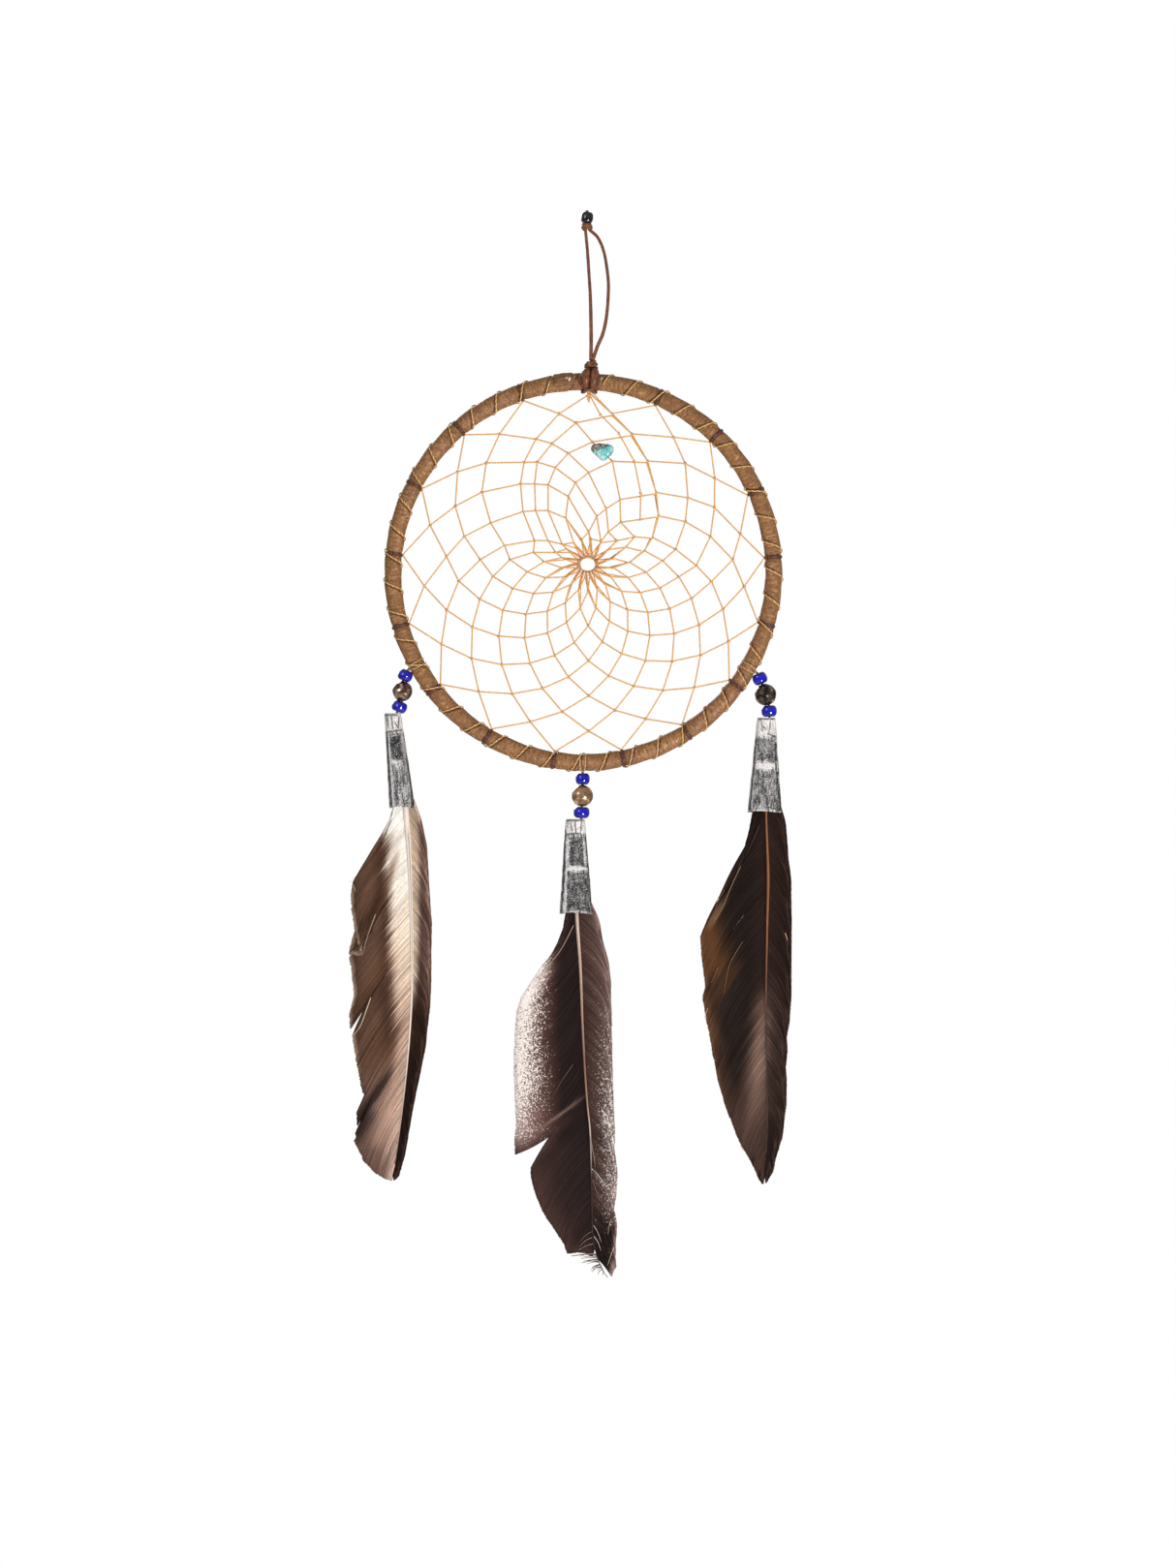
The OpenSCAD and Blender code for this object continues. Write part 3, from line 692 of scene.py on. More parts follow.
def wrap_mesh():
    q, m = len(STRIP), 44
    psi = (np.arange(TURNS)[:, None] + STRIP[None] + SEAM - 1).reshape(-1) * 2 * math.pi
    phi = turns(m)
    theta = (psi[:, None] - phi[None]) / TURNS
    deg = np.degrees(theta)
    out = np.stack([np.sin(theta), 0 * theta, np.cos(theta)], -1)
    along_mm = RING_R * theta
    part = np.broadcast_to(np.tile(STRIP, TURNS)[:, None], theta.shape)
    lift = np.clip(part / 0.9, 0, 1) ** 0.8
    lift = np.where(part < 0.05, 1 - part / 0.05, lift * (part - 0.05) / 0.95)
    # edge: the foot of each overlapping edge of the strip, where the wrap material paints shade
    edge = np.clip(1 - np.abs(part - 0.055) / 0.06, 0, 1)
    p0 = HOOP + RING_R * out
    n = np.cos(phi)[None, :, None] * out + np.sin(phi)[None, :, None] * np.array([0, -1.0, 0])
    r = 2.6 + 0.24 * lift + wobble(p0 + 2.8 * n, 9.0, 0.05, 1) + wobble(p0 + 2.8 * n, 2.2, 0.022, 2)
    # sink: how far the leather is pressed in under each hitch and tie; the wrap material paints shade into
    # these grooves by it
    sink = np.zeros_like(theta)
    for j in range(HITCHES):
        s = around(deg, web_angle(j)) * math.radians(1) * RING_R
        sink = np.maximum(sink, np.exp(-((s / 0.95) ** 2)))
    for a in TIES.values():
        for side in (-0.85, 0.85):
            s = around(deg, a) * math.radians(1) * RING_R - side
            sink = np.maximum(sink, 0.55 * np.exp(-((s / 0.5) ** 2)))
    r = np.minimum(r - 0.34 * sink, 2.86)
    skin = np.stack([2.85 * np.cos(phi)[None] + 0 * theta, 2.85 * np.sin(phi)[None] + 0 * theta, along_mm],
        -1)
    s = Shape()
    s.grid(p0 + r[..., None] * n, ring=True, shift=q, skin=skin, edge=edge, sink=np.clip(sink * 0.8, 0, 1))
    return s


wrap_mesh().make("leather_strip", "hoop", "wrap_leather", WRAP, "leather_wrap")

tail = Shape()
ang = np.linspace(-8.7, -3.1, 40)
fi = np.concatenate([np.linspace(8, 112, 26), np.linspace(112, 8, 26)])
grid = np.zeros((40, 52, 3))
for i, a in enumerate(ang):
    u = (i + 0.5) / 40
    for k, f in enumerate(fi):
        v = (f - 8) / 104
        rim = min(1, 6 * u, 6 * (1 - u), 5 * v + 0.15, 5 * (1 - v) + 0.15)
        high = 2.86 + 0.42 * max(rim, 0.12) ** 0.5 if k < 26 else 2.66
        grid[i, k] = on_hoop(a, f + 3 * math.sin(u * 9), high)
grid += 0.05 * np.stack([wobble(grid, 1.7, 1, 7), wobble(grid, 1.7, 1, 8), wobble(grid, 1.7, 1, 9)], -1)
skin = grid - grid.mean((0, 1))
tail.grid(grid, skin=skin, edge=np.full(grid.shape[:2], 0.42), sink=np.zeros(grid.shape[:2]))
tail.make("strip_end", "hoop", "wrap_leather", WRAP, "wrap_tail")

glints = Shape()
for angle, phi, size, tilt in ((-4.1, 74, 1.0, 0.2), (-4.9, 66, 0.5, 0.6), (4.2, 78, 0.7, 0.9),
        (5.3, 70, 0.75, 0.4), (3.5, 96, 0.6, 1.2)):
    c = on_hoop(angle, phi, 3.2)
    d = unit(on_hoop(angle, phi, 4) - on_hoop(angle, phi, 3))
    t1 = unit(np.cross(d, [math.sin(tilt), 0, math.cos(tilt)]))
    t2 = np.cross(d, t1)
    a, b = np.meshgrid(np.linspace(0.12, math.pi - 0.12, 10), turns(18), indexing="ij")
    lump = c + size * (0.38 * (np.sin(a) * np.cos(b))[..., None] * t1 + 0.75
        * (np.sin(a) * np.sin(b))[..., None] * t2) + 0.34 * size * np.cos(a)[..., None] * d
    lump += 0.12 * size * wobble(lump, 0.8, 1, 4)[..., None] * d
    glints.grid(lump[::-1])
glints.make("glue_spots", "hoop", "glue", GLUE)

helix = np.radians(np.linspace(6, 350, TURNS * 40))
out = np.stack([np.sin(helix), 0 * helix, np.cos(helix)], 1)
ph = -TURNS * helix
normal = np.cos(ph)[:, None] * out + np.stack([0 * ph, -np.sin(ph), 0 * ph], 1)
path = HOOP + RING_R * out + (WRAP_R + 0.1 + 0.03 * np.sin(helix * 31))[:, None] * normal
ply = plies(path, 4.2)
binding = Shape()
binding.tube(path, 0.24 * (1 + 0.16 * (ply - 0.5)), 8, guide=normal, ply=ply, knot=0.0)
binding.make("binding_turns", "hoop", "gold_thread", GOLD, "binding_thread")

hitches = Shape()
for j in range(HITCHES):
    a = web_angle(j)
    f = np.radians(np.linspace(170, 170 + 360 * BAND_TURNS, 150))
    pts = np.array([
            on_hoop(a, math.degrees(x), 2.63 + 0.03 * math.sin(x * 2.3 + j), -0.42 + 0.84 * i / 149)
            for i, x in enumerate(f)
    ])
    ply = plies(pts, 6)
    hitches.tube(pts, 0.27 * (1 + 0.14 * (ply - 0.5)), 8, ply=ply, knot=0.0)
hitches.make("hitch_turns", "hoop", "dark_thread", DARK, "web_hitches")

# ---------- web ----------


def pull(k):
    return 0 if k == 0 else 0.5 + 0.1 * k if k <= 5 else 1 - 0.15 * (k - 5)


# Knots of the upper web that the threads pull aside, by round and place in it.
# The CAD web is the even weave, without these and without the second strand.
ASIDE = {
    (1, 0): (7.7, -59.0), (1, 1): (27.2, -66.5), (1, 2): (40.4, -79.6), (1, 3): (48.5, -97.3),
    (1, 16): (-9.2, -59.0),
    (2, 0): (13.9, -65.4), (2, 1): (31.0, -74.9), (2, 3): (46.1, -105.5), (2, 12): (-45.1, -104.5),
    (2, 13): (-42.3, -88.5), (2, 14): (-32.4, -74.7), (2, 15): (-16.6, -67.1), (2, 16): (-3.8, -61.9),
    (3, 0): (19.0, -74.1), (3, 1): (31.8, -85.8), (3, 2): (39.0, -98.1), (3, 12): (-39.4, -98.1),
    (3, 13): (-33.8, -84.0), (3, 14): (-20.4, -74.5), (3, 15): (-11.5, -68.5),
    (4, 0): (21.7, -84.1), (4, 1): (31.0, -93.4), (4, 2): (34.5, -107.4), (4, 11): (-34.3, -105.5),
    (4, 12): (-31.0, -93.8), (4, 13): (-21.5, -81.4), (4, 14): (-16.2, -74.4), (4, 15): (-6.3, -71.6),
    (5, 0): (22.5, -91.6), (5, 1): (27.9, -102.2), (5, 11): (-26.6, -101.0), (5, 12): (-20.7, -90.2),
    (5, 13): (-17.0, -81.4), (5, 14): (-10.4, -76.2), (5, 15): (0.2, -77.8), (5, 16): (10.2, -86.4),
    (6, 0): (20.5, -98.4), (6, 11): (-17.0, -99.4), (6, 12): (-16.7, -89.9), (6, 13): (-12.7, -81.7),
    (6, 14): (-4.0, -81.0), (6, 15): (5.8, -89.3), (6, 16): (10.4, -93.6),
    (7, 10): (-17.4, -103.2), (7, 11): (-12.7, -99.5), (7, 12): (-12.7, -89.9), (7, 13): (-6.3, -85.4),
    (7, 14): (2.8, -91.7), (7, 16): (14.8, -98.3), (7, 15): (6.5, -96.7),
    (8, 10): (-10.3, -103.2), (8, 11): (-8.2, -100.6), (8, 12): (-7.1, -92.2), (8, 13): (0.2, -96.7),
    (8, 15): (9.2, -99.5), (8, 14): (4.1, -99.6),
}


def web_point(k, j, y):
    if (k, j % HITCHES) in ASIDE:
        x, z = ASIDE[k, j % HITCHES]
        return np.array([x, y, z])
    a = web_angle(j + k / 2)
    a = math.radians(a - 12 * pull(k) * math.exp(-((around(a, 10) / 34) ** 2)))
    first, last = 0.89 * WEB_EDGE, 0.145 * WEB_EDGE
    r = WEB_EDGE if k == 0 else 3.4 if k > ROUNDS else first - (first - last) * (k - 1) / (ROUNDS - 1)
    inward = 0 if k == 0 else (1 - r / WEB_EDGE) ** 0.7
    c = HOOP + (WEB_C - HOOP) * inward
    return np.array([c[0] + r * math.sin(a), y, c[2] + r * math.cos(a)])


def layer(k):
    return -LAYER if k % 2 == 0 else LAYER


web_line = []
for k in range(ROUNDS + 1):
    for j in range(HITCHES):
        for step in (0, 1):
            p = web_point(k + step, j, layer(k))
            if k + step == 0:  # the thread comes off the band round the hoop
                p = p + unit(p - HOOP) * 0.35
            web_line.append(p)
    if k < ROUNDS:
        p = web_point(k, 0, layer(k + 1))
        web_line.append(p + 0.62 * unit(np.array([WEB_C[0], p[1], WEB_C[2]]) - p))
web_line = np.array(web_line)
smooth = []
for i, p in enumerate(web_line):  # round each corner a little
    before, after = web_line[max(i - 1, 0)], web_line[min(i + 1, len(web_line) - 1)]
    for other in (before, after):
        gap = np.linalg.norm(other - p)
        if gap > 0:
            smooth.append(p + (other - p) * min(0.3, 0.18 * gap) / gap)
web_path = even(np.array(smooth), 0.42)
# the second strand, from its end to the top hitch
SECOND = [(16.6, -92.8), (16.8, -84.4), (14.7, -74.1), (9.8, -65.3), (3.9, -59.3), (0.3, -52.7)]
web = Shape()
for pts in (web_path, even(np.array([(x, -0.78, z) for x, z in SECOND]), 0.42)):
    ply = plies(pts, THREAD_PITCH)
    web.tube(pts, THREAD_R * (1 + 0.05 * (ply - 0.5)), 8, ply=0.48 + 0.12 * ply, knot=0.0)
web.make("web_line", "hoop", "web_thread", WEB, "web_thread")

knots = Shape()
for k in range(1, ROUNDS + 2):
    for j in range(HITCHES):
        if k > ROUNDS and j >= len(SECOND) - 1:
            continue
        c = web_point(k, j, 0) if k <= ROUNDS else np.array([SECOND[j][0], -0.4, SECOND[j][1]])
        # the half hitch turns round the loop of the round before
        tangent = unit(web_point(k, j + 0.3, 0) - web_point(k, j - 0.3, 0))
        radial = unit(c - np.array([WEB_C[0], 0, WEB_C[2]]))
        slant = rng.uniform(-0.35, 0.35)
        axis = unit(tangent + slant * radial)
        u = unit(radial - axis * (radial @ axis))
        v = np.cross(axis, u)
        t = np.linspace(0, 2 * math.pi * 1.6, 26)
        size = rng.uniform(0.92, 1.08)
        pts = c + (0.36 * size * np.cos(t))[:, None] * u + (0.5 * size * np.sin(t))[:,
            None] * v + ((t / t[-1] - 0.5) * 0.42)[:, None] * axis
        knots.tube(pts, 0.18, 8, ply=0.45 + 0.2 * plies(pts, THREAD_PITCH), knot=rng.uniform(0.0, 0.4))
# the turns gathered under the hitch
for path_, thick_ in (
        ([(0.1, -0.5, -51.6), (0.0, -0.55, -52.8), (0.15, -0.4, -54.2), (0.35, -0.1, -55.4)], 0.3),
        ([(0.75, -0.45, -51.6), (0.6, -0.5, -52.8), (0.45, -0.45, -54.0), (0.3, -0.2, -55.2)], 0.27),
        ([(0.9, 0.1, -52.6), (0.1, -0.75, -53.0), (-0.4, 0, -53.3), (0.3, 0.55, -53.5), (0.8, -0.1, -53.8),
                (0.1, -0.7, -54.1), (-0.2, 0, -54.4)], 0.22),
    ):
    pts = even(spline(path_, 8), 0.15)
    knots.tube(pts, thick_, 8, ply=0.4 + 0.2 * plies(pts, THREAD_PITCH), knot=0.25)
# the last round's strands spread before they reach the ring
for j in range(HITCHES):
    for side in (-0.3, 0.3):
        inner = web_point(ROUNDS + 1, j + side, 0.0)
        pts = np.array([web_point(ROUNDS - (j + (side > 0)) % 2, j, side),
                (web_point(ROUNDS, j, side) + inner) / 2, inner + 0.08 * (WEB_C - inner)])
        knots.tube(even(pts, 0.5), 0.2, 8, ply=0.5, knot=0.2)
knots.make("web_knots", "hoop", "web_thread", WEB)

eye = Shape()
t = np.linspace(0, 2 * math.pi * 4.3, 260)
grow = t / t[-1]
pts = np.stack([
        WEB_C[0] + (2.45 + 0.5 * grow + 0.1 * np.sin(3.3 * t)) * np.cos(t) * 1.05,
        0.42 * np.sin(2.7 * t) * (0.5 + 0.5 * grow),
        WEB_C[2] + (2.3 + 0.45 * grow + 0.08 * np.sin(2.1 * t + 1)) * np.sin(t) * 0.96,
    ], 1)
eye.tube(pts, 0.24, 8, ply=plies(pts, THREAD_PITCH), knot=0.1)
for j in range(HITCHES):
    a = math.radians(web_angle(j + 5))
    c = np.array([WEB_C[0] + 3.0 * math.sin(a), 0, WEB_C[2] + 2.85 * math.cos(a)])
    u = np.array([math.sin(a), 0, math.cos(a)])
    v = np.array([0, 1.0, 0])
    axis = np.cross(u, v)
    f = np.linspace(0, 2 * math.pi * 1.3, 22)
    pts = c + (0.62 * np.cos(f))[:, None] * u + (0.55 * np.sin(f))[:,
        None] * v + ((f / f[-1] - 0.5) * 0.3)[:, None] * axis
    eye.tube(pts, 0.2, 8, ply=plies(pts, THREAD_PITCH), knot=0.05 if j % 5 else 0.6)
eye.make("eye_turns", "hoop", "dark_thread", BROWN, "centre_ring")

# ---------- stone chip ----------

ca, cb = web_point(3, 16, LAYER), web_point(4, 16, LAYER)
chip_mid, chip_dir = (ca + cb) / 2, unit(cb - ca)
LOBES = np.array([(-2.3, 0, 1.1, 1.45), (2.2, 0.2, 0.9, 1.45), (0.3, -0.2, -1.5, 1.5),
        (1.5, -0.2, -0.3, 1.7), (-0.6, 0.2, 0.8, 1.9)])
bm = bmesh.new()
bmesh.ops.create_icosphere(bm, subdivisions=6, radius=1)
d = unit(np.array([v.co[:] for v in bm.verts]))
faces = [[v.index for v in f.verts] for f in bm.faces]
bm.free()
k = np.arange(700)
z = 1 - 2 * (k + 0.5) / 700
g = np.stack([np.sqrt(1 - z * z) * np.cos(2.39996 * k), np.sqrt(1 - z * z) * np.sin(2.39996 * k), z], 1)
h = np.max(g @ LOBES[:, :3].T + LOBES[:, 3], axis=1)
reach = np.empty(len(d))
for i in range(0, len(d), 2000):
    c = d[i:i + 2000] @ g.T
    reach[i:i + 2000] = -np.log(np.sum(np.exp(-22 * np.where(c > 0.05, h / np.maximum(c, 0.05), 99)),
            axis=1)) / 22
p = d * reach[:, None]
p += d * (wobble(p, 3.4, 0.1, 5) + wobble(p, 1.3, 0.035, 6))[:, None]
# dimples where the thread goes through
for sign in (-1, 1):
    off = p - (p @ chip_dir)[:, None] * chip_dir
    near = np.exp(-((np.linalg.norm(off, axis=1) / 0.42) ** 2)) * ((p @ chip_dir) * sign > 0)
    p -= d * (0.55 * near)[:, None]
chip = Shape()
chip.verts, chip.faces, chip.count = [p + chip_mid], faces, len(p)
chip.data["crust"] = [np.clip((0.9 * p[:, 2] - 0.5 * p[:, 0]) / 2 + 0.1, 0, 1)]
chip.make("chip_stone", "chip", "turquoise", STONE, "turquoise_chip")

# ---------- pendants ----------


def ply_tube(shape, pts, radius, sides=8, knot=0.0, pitch=5.0):
    """A twisted thread"""
    ply = plies(pts, pitch, sides)
    shape.tube(pts, radius * (1 + 0.14 * (ply - 0.5)), sides, ply=ply, knot=knot)


def route_points(side):
    return [np.array([x, 0.0, z]) for x, z in ROUTES[side]]


for side in SIDES:
    P = route_points(side)
    angle = TIES[side]
    # two turns round the hoop that meet where the pendant hangs
    tie = Shape()
    for s_ in (-1, 1):
        pts = []
        for f in np.linspace(-8, 352, 60):
            near = math.exp(-((around(f, 0) / 42) ** 2))
            pts.append(on_hoop(angle, f, 2.82 + 0.1 * near, s_ * (0.86 - 0.62 * near)))
        ply_tube(tie, np.array(pts), 0.22)
        start = on_hoop(angle, 24, 2.95, s_ * 0.5)
        tail_ = [start, on_hoop(angle, 6, 3.05, s_ * 0.25), P[0] + 0.22 * unit(HOOP - P[0])]
        ply_tube(tie, even(spline(tail_, 8), 0.15), 0.16)
    tie.make(side + "_tie_turns", "hoop", "gold_thread", CREAM, side + "_tie")

    knot = Shape()
    t = np.linspace(0, 2 * math.pi * 2.2, 44)
    pts = P[0] + np.stack([0.2 * np.cos(t), 0.2 * np.sin(t), 0.16 * np.sin(1.4 * t)], 1)
    ply_tube(knot, pts, 0.2)
    knot.make(side + "_knot_turns", side + "_link", "gold_thread", CREAM, side + "_tie_knot")

    line = Shape()
    first = P[0] + 0.5 * unit(P[1] - P[0])
    pts = even(spline([first, P[1], P[2], P[3], P[4]], 10), 0.2)
    ply_tube(line, pts, 0.38, 10)
    t = np.linspace(0, 2 * math.pi * 3, 60)
    pts = P[4] + np.stack([0.55 * np.cos(t), 0.55 * np.sin(t), 0.35 * np.sin(1.3 * t)], 1)
    ply_tube(line, pts, 0.36)
    line.make(side + "_line", side + "_string", "gold_thread", DARK, side + "_thread")

    top_d, small_h, metal_d, low_d = BEADS[side]
    metal = dict(left=IRON, middle=BRONZE, right=SOOT)[side]
    metal_slot = "bronze_metal" if side == "middle" else "dark_metal"
    for k, (kind, shape_name, d_, h_, mat, slot_, dents) in enumerate((
                ("upper", "glass", top_d * 1.05, small_h + 0.1, BLUE, "blue_bead", 0.03),
                ("metal", "ball", metal_d * 1.02, metal_d - 0.04, metal, metal_slot, 0.16),
                ("lower", "glass", low_d * 1.05, small_h + 0.1, BLUE, "blue_bead", 0.03),
        )):
        body = "{}_{}".format(side, kind)
        bead(body + "_" + shape_name, (P[k] + P[k + 1]) / 2, P[k] - P[k + 1], d_, h_, 1.0, body, slot_, mat,
            body + "_bead", dents=dents, seed=k + 3 * SIDES.index(side))


def cone_mesh(side):
    """Rolled tin with an overlapping seam, crimped in at the top round the thread"""
    cx0, w0, cx1, w1, d0, d1 = CONES[side]
    z0 = ROUTES[side][3][1] - (0.42 if side == "left" else 0.24)
    scale_y = (d0 + d1) / (w0 + w1)
    hole = ROUTES[side][4][0]
    m = 160
    phi = turns(m)  # from +X over the front
    seam = dict(left=math.radians(60), middle=math.radians(168), right=math.radians(25))[side]
    turn = ((phi - seam) % (2 * math.pi)) / (2 * math.pi)
    step = 0.24 * np.where(turn < 0.03, 1 - turn / 0.03, 0) + 0.24 * np.clip((turn - 0.86) / 0.14, 0, 1)
    folds = 0.5 + 0.5 * np.cos(phi * 7 + SIDES.index(side))

    def skew(t):
        """The lower rim isn't quite level"""
        return 0.25 * (1 - t) * np.sin(phi * 2 + 1)

    rings = []
    for t in np.concatenate([[0.0, 0.012], np.linspace(0.02, 1, 120)]):  # from the bottom up
        half = (w1 + (w0 - w1) * t) / 2
        near_top = np.clip((t - 0.9) / 0.1, 0, 1)
        flat = 1 + 0.02 * np.sin(phi * 4) * t
        r = half * flat - 0.16 + step - near_top * (0.1 * folds + 0.06 * near_top)
        x = cx1 + (cx0 - cx1) * t + r * np.cos(phi)
        y = -r * scale_y * np.sin(phi)
        z = z0 - CONE_L * (1 - t) + 0 * phi - skew(t)
        rings.append(np.stack([x, y, z], 1))
    # over the top and in to the hole
    half = w0 / 2
    for q, drop in ((0.8, 0.06), (0.55, 0.16), (0.32, 0.1)):
        r = q * half * (1 - 0.06 * folds)
        x = cx0 + (hole - cx0) * (1 - q) + r * np.cos(phi)
        rings.append(np.stack([x, -r * scale_y * np.sin(phi), z0 - drop + 0.05 * folds], 1))
    for drop in (0.25, 0.55):
        rings.append(np.stack([hole + HOLE_R * np.cos(phi), -HOLE_R * np.sin(phi), z0 - drop + 0 * phi], 1))
    for t in np.linspace(0.985, 0, 40):  # back down inside
        half = (w1 + (w0 - w1) * t) / 2 - 0.62 + 0.1 * step
        x = cx1 + (cx0 - cx1) * t + half * np.cos(phi)
        y = -half * scale_y * np.sin(phi)
        rings.append(np.stack([x, y, z0 - CONE_L * (1 - t) + 0.02 + 0 * phi - skew(t)], 1))
    p = np.array(rings)
    bump = wobble(p, 6.0, 0.07, SIDES.index(side)) + wobble(p, 2.0, 0.025, 3)
    mid = np.stack([p[..., 0].mean(1), 0 * p[:, 0, 1], p[:, 0, 2]], 1)
    p = p + unit(p - mid[:, None]) * bump[..., None]
    t = (p[..., 2] - (z0 - CONE_L)) / CONE_L
    f = np.broadcast_to(phi, t.shape)
    front = np.clip(np.sin(f) * 1.3, 0, 1)

    rough = wobble(p, 1.6, 1.0, 8)

    def patch(t0, t1, f0, f1, soft=0.012):
        tt, ff = t + 0.008 * rough, f + 0.04 * rough
        a = np.clip((tt - t0) / soft, 0, 1) * np.clip((t1 - tt) / soft, 0, 1)
        b = np.clip((ff - math.radians(f0)) / 0.07, 0, 1) * np.clip((math.radians(f1) - ff) / 0.07, 0, 1)
        return a * b

    def stroke(t0, f0, t1, f1, wide=0.3):
        """A dark line of painted crease shade from one place to another, its width in millimetres"""
        r = (w1 + w0) / 4
        ax, bx = (-math.cos(math.radians(a)) * r for a in (f0, f1))
        az, bz = t0 * CONE_L, t1 * CONE_L
        px, pz = -np.cos(f) * r + 0.12 * rough, t * CONE_L
        q = np.clip(((px - ax) * (bx - ax) + (pz - az) * (bz - az)) / ((bx - ax) ** 2 + (bz - az) ** 2), 0,
            1)
        d = np.hypot(px - ax - q * (bx - ax), pz - az - q * (bz - az))
        return np.clip(1.3 - d / wide, 0, 1) * (f < math.pi)

    uneven = 0.9 + wobble(p, 2.4, 0.2, 5)
    # Painted light, cone by cone: dark reflection over the front, highlights on the crimped top and on
    # bands down and round the side (bright), and crease shade along folds and the rim (lines)
    if side == "left":
        stain = 0.95 * patch(0.5, 0.76, 60, 124) + 0.75 * patch(0.02, 0.46, 98, 122) + 0.4 * patch(0.02,
            0.8, 18, 96)
        bright = 0.9 * patch(0.79, 1.2, 10, 175) + 0.7 * patch(0.02, 0.8, 124, 140)
        lines = [(0.02, 146, 0.8, 150), (0.8, 130, 0.82, 40), (0.86, 128, 0.99, 135),
            (0.84, 96, 0.98, 100), (0.86, 60, 0.96, 48), (0.9, 80, 0.84, 62), (0.98, 160, 0.98, 60),
            (0.02, 30, 0.5, 24)]
    elif side == "middle":
        stain = 0.95 * patch(0.5, 0.82, 48, 122) + 0.92 * patch(0.02, 0.44, 30, 128)
        bright = 0.9 * patch(0.84, 1.2, 10, 172) + 0.9 * patch(0.455, 0.49, 30, 135) + 0.75 * patch(0.03,
            0.84, 128, 143) + 0.3 * patch(0.5, 0.84, 20, 46)
        lines = [(0.02, 150, 0.82, 156), (0.84, 150, 0.9, 172), (0.84, 130, 0.85, 60),
            (0.86, 88, 0.97, 92), (0.88, 110, 0.95, 120), (0.87, 60, 0.97, 50), (0.985, 150, 0.985, 40),
            (0.02, 18, 0.84, 22), (0.8, 100, 0.85, 96)]
    else:
        stain = 0.7 * patch(0.54, 0.78, 30, 140) + 0.62 * patch(0.02, 0.44, 26, 140)
        bright = 0.9 * patch(0.8, 1.2, 10, 172) + 0.85 * patch(0.45, 0.52, 30, 150) + 0.6 * patch(0.03,
            0.4, 140, 156)
        lines = [(0.02, 152, 0.78, 150), (0.45, 40, 0.72, 28), (0.3, 36, 0.42, 30), (0.8, 30, 0.83, 80),
            (0.86, 110, 0.97, 120), (0.85, 70, 0.96, 62), (0.88, 92, 0.9, 104), (0.985, 150, 0.985, 30),
            (0.02, 25, 0.3, 20)]
    mark = np.max([stroke(*item) for item in lines], axis=0)
    skin = np.stack([np.cos(f) * 3, np.sin(f) * 3, t * CONE_L], -1)
    s = Shape()
    s.grid(p[::-1], ring=True, skin=skin[::-1], stain=np.clip(stain * uneven, 0, 1)[::-1],
        bright=np.clip(bright * uneven, 0, 1)[::-1], mark=mark[::-1])
    return s


for side in SIDES:
    cone_mesh(side).make(side + "_cone_tin", side + "_feather", "tin", TIN, side + "_cone")

# ---------- feathers ----------

